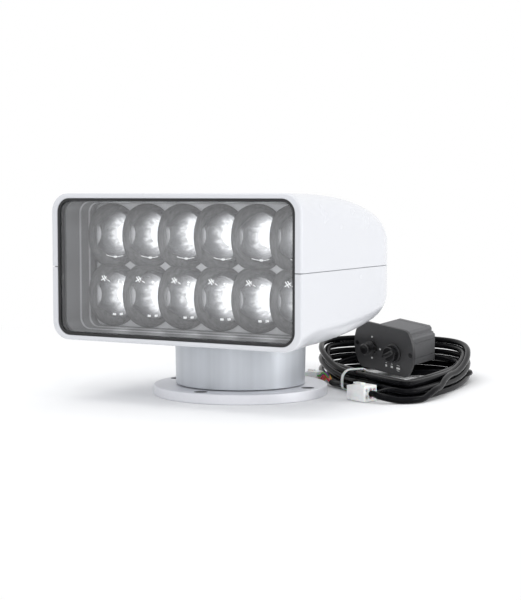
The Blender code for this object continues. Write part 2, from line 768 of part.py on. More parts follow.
def head_section(depth, inset=0.0):
    """The lamp head's rounded-rectangle section at a depth behind its front, drawn in by inset."""
    share = min(max(depth, 0.0) / (HEAD_DEPTH - inset), 1.0)
    top = PARTING_Z + (HEAD_TOP - PARTING_Z) * (1 - share**3.04) ** (1 / 2.31) - inset
    bottom = PARTING_Z - (PARTING_Z - HEAD_BOTTOM) * (1 - share**2.1) ** (1 / 4.0) + inset
    into_round = max(0.0, share * HEAD_DEPTH - (HEAD_DEPTH - HEAD_PLAN_ROUND))
    half_width = HEAD_HALF_WIDTH - HEAD_PLAN_ROUND - inset
    half_width += math.sqrt(max(0.0, HEAD_PLAN_ROUND**2 - into_round**2))
    blend = min(1.0, max(depth, 0.0) / (40.0 * MM))
    blend = blend * blend * (3 - 2 * blend)
    corner = HEAD_FRONT_CORNER + (HEAD_REAR_CORNER - HEAD_FRONT_CORNER) * blend - inset
    return [(x, HEAD_FRONT + depth, z) for x, z in rounded_rectangle(half_width, bottom, top, corner)]


def window_section(depth, inset=0.0):
    """The window opening's outline at a depth behind the front, drawn in by inset."""
    outline = rounded_rectangle(
        WINDOW_HALF_WIDTH - inset, WINDOW_BOTTOM + inset, WINDOW_TOP - inset, WINDOW_CORNER - inset
    )
    return [(x, HEAD_FRONT + depth, z) for x, z in outline]


def head_depths(first, last, count):
    """Depths that crowd together towards the rear, where the shell closes."""
    return [first + (last - first) * math.sin(math.pi / 2 * i / (count - 1)) for i in range(count)]


def head_skin(name, finish=None):
    """The hollow lamp casing in one piece: inner skin, window edge, rim and outer skin."""
    end = HEAD_DEPTH * 0.9994
    inner = [head_section(d, SHELL_WALL) for d in head_depths(WINDOW_DEPTH, end - SHELL_WALL, 9)]
    rim = [window_section(WINDOW_DEPTH), window_section(0.0)]
    edge = HEAD_EDGE_ROUND
    rounding = [head_section(0.0, edge), head_section(edge * 0.3, edge * 0.3), head_section(edge, 0.0)]
    outer = [head_section(d) for d in head_depths(edge, end, 15)[1:]]
    return loft(name, inner[::-1] + rim + rounding + outer, finish)


def build_shells(finish):
    """The upper and lower shells, split at the parting plane, with their posts and recess."""
    reach = 2 * HEAD_HALF_WIDTH
    middle_y = HEAD_FRONT + HEAD_DEPTH / 2
    shells = {}
    for word, side in (("upper", 1), ("lower", -1)):
        shell = head_skin(f"{word}_shell", finish["white_shell"])
        half = box(
            f"{word}_half",
            (2 * reach, 2 * reach, reach),
            (0, middle_y, PARTING_Z + side * (reach + GAP) / 2),
        )
        keep(shell, half)
        shells[word] = shell
    upper, lower = shells["upper"], shells["lower"]

    # Round cup over the turret: it keeps to the middle of the wall, then the recess opens it below
    cup = cylinder(
        "recess_cup",
        RECESS_RADIUS + SHELL_WALL,
        (0, 0, HEAD_BOTTOM),
        (0, 0, RECESS_TOP + SHELL_WALL),
        segments=40,
    )
    mid_wall = SHELL_WALL / 2
    core = loft(
        "casing_core",
        [head_section(d, mid_wall) for d in [WINDOW_DEPTH] + head_depths(WINDOW_DEPTH, HEAD_DEPTH * 0.99, 9)[1:]],
    )
    keep(cup, core)
    join(lower, cup)

    number = 0
    for y in (CASE_POST_FRONT_Y, CASE_POST_REAR_Y):
        for side in (-1, 1):
            number += 1
            x = side * CASE_POST_X
            rib_inner = CASE_POST_X
            rib_outer = HEAD_HALF_WIDTH - SHELL_WALL / 2
            rib_x = side * (rib_inner + rib_outer) / 2
            parts = cylinder(
                f"lower_post_{number}",
                CASE_POST_RADIUS,
                (x, y, HEAD_BOTTOM - BURY),
                (x, y, PARTING_Z - GAP / 2),
                segments=14,
            )
            keep(parts, core)
            rib_low = PARTING_Z - 30.0 * MM
            rib = box(
                f"lower_rib_{number}",
                (rib_outer - rib_inner, 2.4 * MM, PARTING_Z - GAP / 2 - 2 * MM - rib_low),
                (rib_x, y, (PARTING_Z - GAP / 2 - 2 * MM + rib_low) / 2),
            )
            join(parts, rib)
            join(lower, parts)
            top = PARTING_Z + CASE_POST_RISE
            post = cylinder(
                f"upper_post_{number}", CASE_POST_RADIUS, (x, y, PARTING_Z + GAP / 2), (x, y, top), segments=14
            )
            rib_top = PARTING_Z + CASE_POST_RISE - 2 * MM
            rib = box(
                f"upper_rib_{number}",
                (rib_outer - rib_inner, 2.4 * MM, rib_top - (PARTING_Z + GAP / 2 + 2 * MM)),
                (rib_x, y, (rib_top + PARTING_Z + GAP / 2 + 2 * MM) / 2),
            )
            join(post, rib)
            join(upper, post)

            seat = PARTING_Z - CASE_SCREW_SEAT_DROP
            well = cylinder(
                f"screw_well_{number}", CASE_SCREW_HEAD + GAP, (x, y, HEAD_BOTTOM - BURY), (x, y, seat), segments=12
            )
            hole = cylinder(
                f"screw_hole_{number}",
                CASE_SCREW_RADIUS + GAP,
                (x, y, seat - BURY),
                (x, y, seat + CASE_SCREW_LENGTH),
                segments=8,
            )
            cut(lower, well)
            cut(lower, hole)
            cut(upper, hole)
            turned(
                f"case_screw_{number}",
                [
                    (0.0, seat + CASE_SCREW_LENGTH - 2 * GAP),
                    (CASE_SCREW_RADIUS, seat + CASE_SCREW_LENGTH - 2 * GAP),
                    (CASE_SCREW_RADIUS, seat - GAP),
                    (CASE_SCREW_HEAD, seat - GAP),
                    (CASE_SCREW_HEAD, seat - GAP - CASE_SCREW_HEAD_HEIGHT),
                    (0.0, seat - GAP - CASE_SCREW_HEAD_HEIGHT),
                ],
                finish["steel"],
                12,
            ).location = (x, y, 0)

    recess = cylinder("recess", RECESS_RADIUS, (0, 0, HEAD_BOTTOM - 6 * BURY), (0, 0, RECESS_TOP), segments=40)
    cut(lower, recess)
    lug_reach = LUG_INNER + LUG_THICK
    for side in (-1, 1):
        word = "left" if side < 0 else "right"
        lug = cylinder(
            f"lug_{word}", LUG_RADIUS, (side * LUG_INNER, 0, TILT_Z), (side * lug_reach, 0, TILT_Z), segments=24
        )
        web = box(
            f"lug_web_{word}",
            (LUG_THICK, 2 * LUG_RADIUS * 0.96, RECESS_TOP + mid_wall - TILT_Z),
            (side * (LUG_INNER + LUG_THICK / 2), 0, (RECESS_TOP + mid_wall + TILT_Z) / 2),
        )
        join(lug, web)
        join(lower, lug)
    slot = box(
        "neck_slot",
        (2 * SLOT_HALF_WIDTH, 2 * SLOT_HALF_LENGTH, 4 * SHELL_WALL),
        (0, 0, RECESS_TOP + SHELL_WALL / 2),
    )
    cut(lower, slot)
    bore = cylinder(
        "lug_bore",
        TILT_SHAFT_RADIUS + GAP,
        (-lug_reach - BURY, 0, TILT_Z),
        (lug_reach + BURY, 0, TILT_Z),
        segments=24,
    )
    cut(lower, bore)
    cylinder(
        "tilt_shaft", TILT_SHAFT_RADIUS, (-lug_reach, 0, TILT_Z), (lug_reach, 0, TILT_Z), finish["steel"], segments=24
    )


def build_window(finish):
    """The glass in its seal, and the stepped shroud behind it."""
    gap = GAP
    wall = WINDOW_SEAL_WALL
    loft(
        "window_seal",
        [
            window_section(WINDOW_SEAL_FRONT, gap),
            window_section(WINDOW_SEAL_FRONT, gap + wall),
            window_section(WINDOW_DEPTH - gap, gap + wall),
            window_section(WINDOW_DEPTH - gap, gap),
        ],
        finish["black_rubber"],
        closed=True,
    )
    edge = gap + wall + gap
    loft(
        "window_glass",
        [
            window_section(GLASS_FRONT, edge + 0.5 * MM),
            window_section(GLASS_FRONT + 0.5 * MM, edge),
            window_section(GLASS_FRONT + GLASS_THICK, edge),
        ],
        finish["glass"],
    )

    def inner(depth, inset, wall_out=0.0):
        half_width = SHROUD_HALF_WIDTH - inset + wall_out
        half_height = SHROUD_HALF_HEIGHT - inset + wall_out
        outline = rounded_rectangle(
            half_width, HEAD_MIDDLE_Z - half_height, HEAD_MIDDLE_Z + half_height, SHROUD_CORNER - inset + wall_out
        )
        return [(x, HEAD_FRONT + depth, z) for x, z in outline]

    first, second = SHROUD_STEP_DEPTHS
    step = SHROUD_STEP
    back = LENS_PLANE - GAP
    flange = 3.4 * MM
    loft(
        "shroud",
        [
            inner(SHROUD_FRONT, 0.0),
            inner(first, 0.0),
            inner(first, step),
            inner(second, step),
            inner(second, 2 * step),
            inner(back, 2 * step),
            inner(back, 0.0, SHROUD_WALL),
            inner(SHROUD_FRONT + 2 * MM, 0.0, SHROUD_WALL),
            inner(SHROUD_FRONT + 2 * MM, 0.0, flange),
            inner(SHROUD_FRONT, 0.0, flange),
        ],
        finish["shroud_grey"],
        closed=True,
    )


def build_lamps(finish):
    """The tray with its reflector cups and lenses, the board, the heat sink and the driver."""
    tray_front = LENS_PLANE
    half_width = SHROUD_HALF_WIDTH
    half_height = SHROUD_HALF_HEIGHT

    def plate(name, depth, thick, width, height, colour):
        outline = rounded_rectangle(width, HEAD_MIDDLE_Z - height, HEAD_MIDDLE_Z + height, SHROUD_CORNER, 4)
        rings = [[(x, HEAD_FRONT + y, z) for x, z in outline] for y in (depth, depth + thick)]
        return loft(name, rings, colour)

    places = []
    for row in range(LENS_ROWS):
        for column in range(LENS_COLUMNS):
            x = (column - (LENS_COLUMNS - 1) / 2) * LENS_PITCH
            z = HEAD_MIDDLE_Z + ((LENS_ROWS - 1) / 2 - row) * (ROW_PITCH + GAP)
            places.append((x, z))

    tray = plate("lens_tray", tray_front, TRAY_THICK, half_width, half_height, finish["tray_grey"])
    mouth = HEAD_FRONT + tray_front
    floor = mouth + CUP_DEPTH
    slope = (CUP_MOUTH_RADIUS - CUP_FLOOR_RADIUS) / CUP_DEPTH
    wall = TRAY_THICK
    for number, (x, z) in enumerate(places, 1):
        outside = cylinder(
            f"cup_outside_{number}",
            CUP_MOUTH_RADIUS - slope * wall / 2 + wall,
            (x, mouth + wall / 2, z),
            (x, floor + wall, z),
            segments=CUP_FACETS,
            end_radius=CUP_FLOOR_RADIUS + wall,
        )
        join(tray, outside)
    for number, (x, z) in enumerate(places, 1):
        inside = cylinder(
            f"cup_inside_{number}",
            CUP_MOUTH_RADIUS + slope * BURY,
            (x, mouth - BURY, z),
            (x, floor, z),
            segments=CUP_FACETS,
            end_radius=CUP_FLOOR_RADIUS,
        )
        cut(tray, inside)
    board_front = BOARD_FRONT
    board_half_height = half_height - BOARD_MARGIN
    plate(
        "led_board", board_front, BOARD_THICK, half_width - BOARD_MARGIN, board_half_height, finish["board"]
    )

    rise = LENS_HEIGHT - LENS_BED
    sphere = (LENS_RIM_RADIUS**2 + rise**2) / (2 * rise)
    rim_angle = math.degrees(math.asin(LENS_RIM_RADIUS / sphere))
    dome = arc((0.0, LENS_HEIGHT - sphere), sphere, 90.0, 90.0 - rim_angle, 4)
    dome[0] = (0.0, LENS_HEIGHT)
    lens = turned("lens_form", dome + [(LENS_RIM_RADIUS, 0.0), (0.0, 0.0)], finish["lens"], 16)
    trim = LENS_PITCH / 2 - GAP / 2
    keep(lens, box("lens_trim", (2 * trim, 3 * LENS_RIM_RADIUS, 3 * LENS_HEIGHT), (0, 0, LENS_HEIGHT)))
    lens = as_mesh(lens)
    for number, (x, z) in enumerate(places, 1):
        made = add(f"lens_{number:02d}", lens.data)
        made.rotation_euler = (math.radians(90.0), 0, 0)
        made.location = (x, HEAD_FRONT + tray_front - GAP, z)
    bpy.data.objects.remove(lens)

    sink_front = HEAD_FRONT + SINK_FRONT
    height = SINK_TOP - SINK_BOTTOM
    middle = (SINK_TOP + SINK_BOTTOM) / 2
    sink = box(
        "heat_sink",
        (2 * SINK_HALF_WIDTH, SINK_BASE, height),
        (0, sink_front + SINK_BASE / 2, middle),
        finish["aluminium"],
    )
    for fin in range(SINK_FINS):
        x = (fin / (SINK_FINS - 1) - 0.5) * 2 * (SINK_HALF_WIDTH - 2 * SINK_FIN_THICK)
        blade = box(
            f"sink_fin_{fin + 1}",
            (SINK_FIN_THICK, SINK_FIN_DEPTH + SINK_BASE / 2, height - 2 * MM),
            (x, sink_front + SINK_BASE / 2 + (SINK_FIN_DEPTH + SINK_BASE / 2) / 2, middle),
        )
        join(sink, blade)
    # Room for the toothed sector, which swings forwards between the fins as the head tilts up
    room = SECTOR_WIDTH / 2 + MM
    cut(
        sink,
        cylinder(
            "sector_room",
            SECTOR_RADIUS + GEAR_MODULE + MM,
            (-room, 0, TILT_Z),
            (room, 0, TILT_Z),
            segments=40,
        ),
    )
    driver_front = sink_front + SINK_BASE + SINK_FIN_DEPTH + GAP
    driver = box(
        "driver_board",
        DRIVER_SIZE,
        (0, driver_front + DRIVER_SIZE[1] / 2, DRIVER_Z),
        finish["board"],
    )
    part = box(
        "driver_part",
        DRIVER_PART_SIZE,
        (0, driver_front + DRIVER_SIZE[1] / 2 + DRIVER_PART_SIZE[1] / 2, DRIVER_Z),
    )
    join(driver, part)


def build_tilt_drive(finish):
    """The bracket on the recess roof that carries the tilt motor beside the sector."""
    axis_z = TILT_Z + TILT_CENTRES
    roof = RECESS_TOP + SHELL_WALL + GAP
    face = SECTOR_WIDTH / 2 + GAP
    outer = face + BRACKET_THICK
    half_length = TILT_MOTOR_RADIUS
    inner_foot = SLOT_HALF_WIDTH + MM
    motor_start = outer + GAP
    shelf_z = axis_z - TILT_MOTOR_RADIUS - GAP - BRACKET_THICK
    bracket = box(
        "tilt_bracket",
        (BRACKET_THICK, 2 * half_length, axis_z + TILT_MOTOR_RADIUS - shelf_z),
        ((face + outer) / 2, 0, (axis_z + TILT_MOTOR_RADIUS + shelf_z) / 2),
        finish["aluminium"],
    )
    # Two legs step outwards over the neck and stand on the recess roof beside the slot
    shelf = box(
        "bracket_shelf",
        (inner_foot + BRACKET_THICK - face, 2 * half_length - MM, BRACKET_THICK),
        ((inner_foot + BRACKET_THICK + face) / 2, 0, shelf_z + BRACKET_THICK / 2),
    )
    leg = box(
        "bracket_leg",
        (BRACKET_THICK, 2 * half_length - 2 * MM, shelf_z + BRACKET_THICK / 2 - roof),
        (inner_foot + BRACKET_THICK / 2, 0, (shelf_z + BRACKET_THICK / 2 + roof) / 2),
    )
    foot = box(
        "bracket_foot",
        (10 * MM, 2 * half_length - 3 * MM, BRACKET_THICK),
        (inner_foot + BRACKET_THICK / 2 + 5 * MM, 0, roof + BRACKET_THICK / 2),
    )
    join(bracket, shelf)
    join(bracket, leg)
    join(bracket, foot)
    cut(
        bracket,
        cylinder("bracket_hole", PINION_SHAFT + GAP, (0, 0, axis_z), (outer + BURY, 0, axis_z), segments=16),
    )
    motor = cylinder(
        "tilt_motor",
        TILT_MOTOR_RADIUS,
        (motor_start, 0, axis_z),
        (motor_start + TILT_MOTOR_LENGTH, 0, axis_z),
        finish["steel"],
        segments=28,
    )
    cut(
        motor,
        cylinder(
            "tilt_motor_hole",
            PINION_SHAFT + GAP,
            (motor_start - BURY, 0, axis_z),
            (motor_start + TILT_MOTOR_LENGTH / 2 + MM, 0, axis_z),
            segments=16,
        ),
    )


def unit_frame():
    """An empty at the panel's lower middle, tilted as the unit lies propped on the coil."""
    frame = bpy.data.objects.new("control_unit_frame", None)
    MODEL.objects.link(frame)
    turn = (
        Matrix.Rotation(math.radians(VIEW_TURN), 4, "Z")
        @ Matrix.Rotation(math.radians(UNIT_TILT), 4, "X")
        @ Matrix.Rotation(math.radians(UNIT_YAW), 4, "Z")
    )
    lowest = min((turn @ Vector((side * PANEL_STRAIGHT_HALF, 0, 0))).z for side in (-1, 1))
    frame.matrix_world = Matrix.Translation((*UNIT_PLACE, GAP - lowest)) @ turn
    bpy.context.view_layer.update()
    return frame


def panel_outline():
    """Straight long edges and ends that bulge outwards, with small corner rounds."""
    half, bulge, height = PANEL_STRAIGHT_HALF, PANEL_HALF_LENGTH, PANEL_HEIGHT
    sagitta = bulge - half
    radius = ((height / 2) ** 2 + sagitta**2) / (2 * sagitta)
    sweep = math.degrees(math.asin(height / 2 / radius)) * 0.93
    right = arc((bulge - radius, height / 2), radius, -sweep, sweep, 9)
    left = [(-x, z) for x, z in reversed(right)]
    inset = PANEL_CORNER
    return (
        [(-half + inset, 0.0), (half - inset, 0.0)] + right + [(half - inset, height), (-half + inset, height)] + left
    )


def build_control_unit(finish):
    """The dash control: panel, box, joystick on its gimbal, turning knob and rear socket."""
    frame = unit_frame()
    # Outlines are drawn in the panel's X and Z, and their thickness lies along Y
    facing = Matrix(((1, 0, 0, 0), (0, 0, -1, 0), (0, 1, 0, 0), (0, 0, 0, 1)))
    slab = flat_piece(
        "control_panel",
        [panel_outline()],
        PANEL_THICK,
        Matrix.Translation((0, PANEL_THICK / 2, 0)) @ facing,
        finish["panel_black"],
        frame,
    )
    panel = as_mesh(slab)
    for name, radius, x, z in (
        ("stick_well", STICK_WELL, STICK_X, STICK_Z),
        ("knob_hole", KNOB_SHAFT + GAP, KNOB_X, KNOB_Z),
    ):
        hole = cylinder(name, radius, (x, -BURY, z), (x, PANEL_THICK + BURY, z), parent=frame, segments=24)
        cut(panel, hole)
    middle = PANEL_HEIGHT / 2
    for number, side in ((1, -1), (2, 1)):
        x = side * PANEL_SCREW_X
        deep = PANEL_SCREW_HEAD - PANEL_SCREW_RADIUS
        hole = countersink(
            f"panel_hole_{number}",
            PANEL_SCREW_RADIUS + GAP,
            PANEL_SCREW_HEAD + GAP,
            deep,
            PANEL_THICK + BURY,
            Matrix.Translation((x, 0, middle)) @ Matrix.Rotation(math.radians(90.0), 4, "X"),
            frame,
        )
        cut(panel, hole)
        screw = turned(
            f"panel_screw_{number}",
            [
                (0.0, 0.0),
                (PANEL_SCREW_HEAD, 0.0),
                (PANEL_SCREW_RADIUS, -deep),
                (PANEL_SCREW_RADIUS, -PANEL_THICK - 3 * MM),
                (0.0, -PANEL_THICK - 3 * MM),
            ],
            finish["steel"],
            12,
            frame,
        )
        screw.location = (x, GAP / 2, middle)
        screw.rotation_euler = (math.radians(90.0), 0, 0)

    # The box's section has a moulded step along its upper right edge
    half, low, high = UNIT_BOX_HALF_WIDTH, UNIT_BOX_BOTTOM, UNIT_BOX_TOP
    step_x, step_z = half - UNIT_STEP_WIDTH, high - UNIT_STEP_DROP
    groove = UNIT_GROOVE
    section = [
        (-half, low),
        (half, low),
        (half, step_z),
        (half - groove, step_z + groove / 2),
        (half - groove, step_z + groove),
        (step_x + groove, step_z + groove),
        (step_x + groove, high - groove),
        (step_x, high),
        (-half, high),
    ]
    depth = UNIT_BOX_DEPTH
    case = as_mesh(
        flat_piece(
            "control_box",
            [section],
            depth,
            Matrix.Translation((0, UNIT_BOX_FRONT + depth / 2, 0)) @ facing,
            finish["box_grey"],
            frame,
        )
    )
    wall = UNIT_BOX_WALL
    hollow = box(
        "box_hollow",
        (2 * half - 2 * wall, depth, step_z - low - 2 * wall),
        (0, UNIT_BOX_FRONT + depth / 2 - wall, (low + step_z) / 2),
        parent=frame,
    )
    cut(case, hollow)
    rear = UNIT_BOX_FRONT + depth
    socket_z = (low + step_z) / 2
    box(
        "unit_socket",
        SOCKET_SIZE,
        (0, rear + GAP + SOCKET_SIZE[1] / 2, socket_z),
        finish["nylon_white"],
        frame,
        bevel=0.8 * MM,
    )

    to_viewer = (math.radians(90.0), 0, 0)
    half_thick = GIMBAL_THICK / 2
    gimbal = turned(
        "stick_gimbal",
        [
            (GIMBAL_BORE, half_thick),
            (GIMBAL_RADIUS, half_thick),
            (GIMBAL_RADIUS, -half_thick),
            (GIMBAL_BORE, -half_thick),
        ],
        finish["steel"],
        24,
        frame,
    )
    gimbal.location = (STICK_X, STICK_PIVOT, STICK_Z)
    gimbal.rotation_euler = to_viewer
    skirt_foot = 3.8 * MM + STICK_PIVOT
    cap_foot = STICK_LENGTH - 4.5 * MM
    stick = turned(
        "joystick",
        [
            (0.0, STICK_LENGTH - 0.6 * MM),
            (STICK_CAP - 1.6 * MM, STICK_LENGTH),
            (STICK_CAP, STICK_LENGTH - 1.4 * MM),
            (STICK_CAP, cap_foot + 1.0 * MM),
            (STICK_STEM + 1.6 * MM, cap_foot),
            (STICK_STEM + 1.6 * MM, cap_foot - 1.4 * MM),
            (STICK_CAP - 0.6 * MM, cap_foot - 2.4 * MM),
            (STICK_STEM + 2.4 * MM, cap_foot - 3.4 * MM),
            (STICK_SKIRT, skirt_foot),
            (STICK_STEM, skirt_foot),
            (STICK_STEM, STICK_HUB),
            (STICK_HUB, STICK_HUB * 0.4),
            (STICK_HUB, -STICK_HUB * 0.4),
            (STICK_STEM, -STICK_HUB),
            (0.0, -STICK_HUB),
        ],
        finish["knob_black"],
        18,
        frame,
    )
    stick.location = (STICK_X, STICK_PIVOT, STICK_Z)
    stick.rotation_euler = to_viewer

    knob = turned(
        "mode_knob",
        [
            (0.0, KNOB_HEIGHT),
            (KNOB_RADIUS - 2.2 * MM, KNOB_HEIGHT),
            (KNOB_RADIUS - 1.4 * MM, KNOB_HEIGHT - 0.8 * MM),
            (KNOB_RADIUS - 0.6 * MM, 2.4 * MM),
            (KNOB_RADIUS + 1.0 * MM, 1.8 * MM),
            (KNOB_RADIUS + 1.0 * MM, GAP),
            (KNOB_SHAFT, GAP),
            (KNOB_SHAFT, -PANEL_THICK - 6 * MM),
            (0.0, -PANEL_THICK - 6 * MM),
        ],
        finish["knob_black"],
        20,
        frame,
    )
    knob.location = (KNOB_X, 0, KNOB_Z)
    knob.rotation_euler = to_viewer
    for flute in range(KNOB_FLUTES):
        angle = 2 * math.pi * (flute + 0.5) / KNOB_FLUTES
        x = KNOB_X + (KNOB_RADIUS + 0.2 * MM) * math.cos(angle)
        z = KNOB_Z + (KNOB_RADIUS + 0.2 * MM) * math.sin(angle)
        groove_tool = cylinder(
            f"knob_flute_{flute + 1}",
            1.6 * MM,
            (x, -KNOB_HEIGHT - BURY, z),
            (x, -3.2 * MM, z),
            parent=frame,
            segments=6,
        )
        cut(knob, groove_tool)


def coil_outline(angle, inward):
    """A plan point of the egg-shaped coil at an angle, set inward from its outer edge."""

    def edge(turn):
        across = COIL_HALF_WIDTH * math.cos(turn) * (1 + COIL_EGG * math.sin(turn)) + COIL_SKEW * math.sin(turn)
        along = COIL_HALF_LENGTH * math.sin(turn)
        view = math.radians(VIEW_TURN)
        right = Vector((math.cos(view), math.sin(view)))
        away = Vector((-math.sin(view), math.cos(view)))
        return Vector(COIL_CENTRE) + right * across + away * along

    turn = math.radians(angle)
    tangent = (edge(turn + 0.01) - edge(turn - 0.01)).normalized()
    return edge(turn) + Vector((-tangent.y, tangent.x)) * inward


def coil_rise(angle):
    """How steeply the strands lean together, 0 side by side at the front to a pile at the back."""
    share = min(1.0, max(0.0, (math.sin(math.radians(angle)) + 0.35) / 1.2))
    share = share * share * (3 - 2 * share)
    return math.radians(COIL_STACK_ANGLE) * share


def build_coil(finish):
    """One closed ring with the outer shape of the coiled cable."""
    pitch = CABLE_DIAMETER
    rings = []
    count = 40
    for i in range(count):
        angle = 360.0 * i / count
        lean = coil_rise(angle)
        slide = pitch * (1 - math.cos(lean))
        inner_top = COIL_LAYERS * COIL_LAYER_PITCH
        outer_top = inner_top + COIL_LAYERS * pitch * math.sin(lean)
        middle = 2 * pitch - slide
        section = (
            (0.0, COIL_LIFT),
            (0.0, outer_top),
            (middle - 1.5 * MM, outer_top - 0.4 * MM),
            (middle + 0.5 * MM, inner_top + 0.2 * MM),
            (COIL_COLUMNS * pitch - slide, inner_top),
            (COIL_COLUMNS * pitch - slide, COIL_LIFT),
        )
        rings.append([(*coil_outline(angle, inward), z) for inward, z in section])
    loft("cable_coil", rings, finish["cable_black"], closed=True)

    low = COIL_LIFT - GAP - TIE_THICK
    high = COIL_LAYERS * COIL_LAYER_PITCH + GAP + 0.6 * MM
    outer = -(CABLE_DIAMETER + 2 * GAP + 0.4 * MM)
    inner_edge = COIL_COLUMNS * pitch + GAP + 0.4 * MM
    here = coil_outline(TIE_ANGLE, 0.0)
    inward = (coil_outline(TIE_ANGLE, 10 * MM) - here).normalized()
    along = Vector((inward.y, -inward.x))
    rings = []
    for side in (-1, 1):
        shift = along * side * TIE_WIDTH / 2
        for grow in ((0.0, TIE_THICK) if side < 0 else (TIE_THICK, 0.0)):
            ring = []
            for s, z in (
                (outer - grow, low + TIE_THICK - grow),
                (inner_edge + grow, low + TIE_THICK - grow),
                (inner_edge + grow, high + grow),
                (outer - grow, high + grow),
            ):
                spot = here + inward * s + shift
                ring.append((spot.x, spot.y, z))
            rings.append(ring)
    loft("cable_tie", rings, finish["nylon_white"], closed=True)


def plug(name, size, place, turn, colour):
    """A nylon connector housing: a rounded block with a waist and a latch on its top."""
    length, width, height = size
    body = box(name, (length, width, height), (0, 0, height / 2), colour, bevel=1.2 * MM)
    latch = box(
        name + "_latch",
        (length * 0.45, width * 0.34, 3 * MM),
        (-length * 0.12, 0, height),
        bevel=0.4 * MM,
    )
    place = Matrix.Translation((*place, GAP)) @ Matrix.Rotation(math.radians(turn), 4, "Z")
    body.matrix_world = place
    latch.matrix_world = place
    join(body, latch)
    return place


def route_point(plan, height):
    return Vector((plan[0], plan[1], height))


def build_harness(finish):
    """The two connectors, the wires between one of them and its cable, and the cable's tails."""
    build_coil(finish)
    place_a = plug("plug_a", PLUG_A_SIZE, PLUG_A_PLACE, PLUG_A_TURN, finish["nylon_white"])
    place_b = plug("plug_b", PLUG_B_SIZE, PLUG_B_PLACE, PLUG_B_TURN, finish["nylon_white"])
    radius = CABLE_DIAMETER / 2
    beside = -(radius + GAP + 0.2 * MM)

    # Wires leave the end of plug_a and gather into the cable, which goes under the tie with the coil
    leave_a = place_a @ Vector((PLUG_A_SIZE[0] / 2 + GAP, 0, PLUG_A_SIZE[2] / 2))
    ahead = place_a @ Vector((PLUG_A_SIZE[0] / 2 + 6 * MM, 0, PLUG_A_SIZE[2] / 2))
    gather = route_point(coil_outline(-171.0, beside - 1.6 * MM), 4.6 * MM)
    wires = smooth_path([leave_a, ahead, gather], 2.2 * WIRE_BUNDLE_DIAMETER)
    tube("wire_bundle", wires, WIRE_BUNDLE_DIAMETER, finish["wire_red"])
    run = (wires[-1] - wires[-2]).normalized()
    tail = [wires[-1] + run * 2 * GAP, wires[-1] + run * WIRE_BUNDLE_DIAMETER]
    over_tie = COIL_LIFT + radius
    for angle in (-163.0, -156.0, -149.0, -143.0):
        tail.append(route_point(coil_outline(angle, beside), over_tie))
    tube("cable_tail_a", smooth_path(tail, 2 * CABLE_DIAMETER), CABLE_DIAMETER, finish["cable_black"])

    leave_b = place_b @ Vector((PLUG_B_SIZE[0] / 2 + GAP, 0, PLUG_B_SIZE[2] / 2))
    ahead = place_b @ Vector((PLUG_B_SIZE[0] / 2 + 6 * MM, 0, PLUG_B_SIZE[2] / 2))
    lower = place_b @ Vector((PLUG_B_SIZE[0] / 2 + 13 * MM, 0.5 * MM, PLUG_B_SIZE[2] / 2 - 1.6 * MM))
    tail = [leave_b, ahead, lower]
    for angle, out in ((-99.0, 5.0), (-88.0, 1.0), (-78.0, 0.0), (-68.0, 0.0)):
        tail.append(route_point(coil_outline(angle, beside - out * MM), radius + 0.3 * MM))
    tube("cable_tail_b", smooth_path(tail, 2 * CABLE_DIAMETER), CABLE_DIAMETER, finish["cable_black"])


def main():
    clear_scene()
    finish = make_materials()
    build_base(finish)
    build_turret(finish)
    build_pinions(finish)
    build_shells(finish)
    build_window(finish)
    build_lamps(finish)
    build_tilt_drive(finish)
    build_control_unit(finish)
    build_harness(finish)


main()
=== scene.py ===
# %% [markdown]
# # A marine searchlight
# A white lamp head tilts and pans on a silver turret, and its dash control lies beside it on a
# coiled cable. The solid model is loaded first and stays as it is. Everything here is dressed onto
# it, in the same place and in metres.

import math

import bmesh
import bpy
from mathutils import Matrix, Vector


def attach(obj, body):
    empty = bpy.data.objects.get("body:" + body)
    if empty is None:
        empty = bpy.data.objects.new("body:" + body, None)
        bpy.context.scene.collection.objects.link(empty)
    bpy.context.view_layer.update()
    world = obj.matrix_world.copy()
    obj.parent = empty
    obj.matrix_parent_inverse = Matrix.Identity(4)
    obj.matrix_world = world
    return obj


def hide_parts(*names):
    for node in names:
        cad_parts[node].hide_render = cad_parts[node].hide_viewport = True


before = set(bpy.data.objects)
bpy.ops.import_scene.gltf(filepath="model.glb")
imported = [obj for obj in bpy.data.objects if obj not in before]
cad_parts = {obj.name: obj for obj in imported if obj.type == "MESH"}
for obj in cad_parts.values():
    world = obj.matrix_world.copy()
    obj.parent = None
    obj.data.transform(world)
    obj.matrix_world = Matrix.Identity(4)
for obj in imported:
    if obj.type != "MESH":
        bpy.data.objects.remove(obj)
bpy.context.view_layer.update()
MM = 0.001


def mm(*values):
    """Millimetres as metres."""
    return tuple(value * MM for value in values)


def in_mm(*points):
    """Points that are given in millimetres."""
    return [mm(*point) for point in points]


# %% [markdown]
# ## Camera
# The picture was taken from low on the lamp's right with a long lens. The place was solved from the
# lamp's own edges, so the lens is set by its focal length and nothing is shifted or cropped.

# %% Camera
view = bpy.data.cameras.new("picture_camera")
view.lens = 86.1
view.sensor_width = 36.0
view.clip_end = 30.0
camera = bpy.data.objects.new("picture_camera", view)
camera.location = (0.6863, -1.1800, 0.1899)
camera.rotation_euler = (math.radians(90.0 - 4.231), 0.0, math.radians(29.383))
bpy.context.scene.collection.objects.link(camera)
bpy.context.scene.camera = camera
bpy.context.scene.view_settings.view_transform = "Standard"
print("camera at", tuple(round(c, 3) for c in camera.location))

# %% [markdown]
# ## Shader sums
# A finish is easier to read as arithmetic than as a drawing of boxes. `Value` wraps one output of a
# node, and +, -, * and ** on it add Math nodes. `Shading` holds a node tree, and its one method
# makes any other node: its settings first, then the values or links of its sockets.

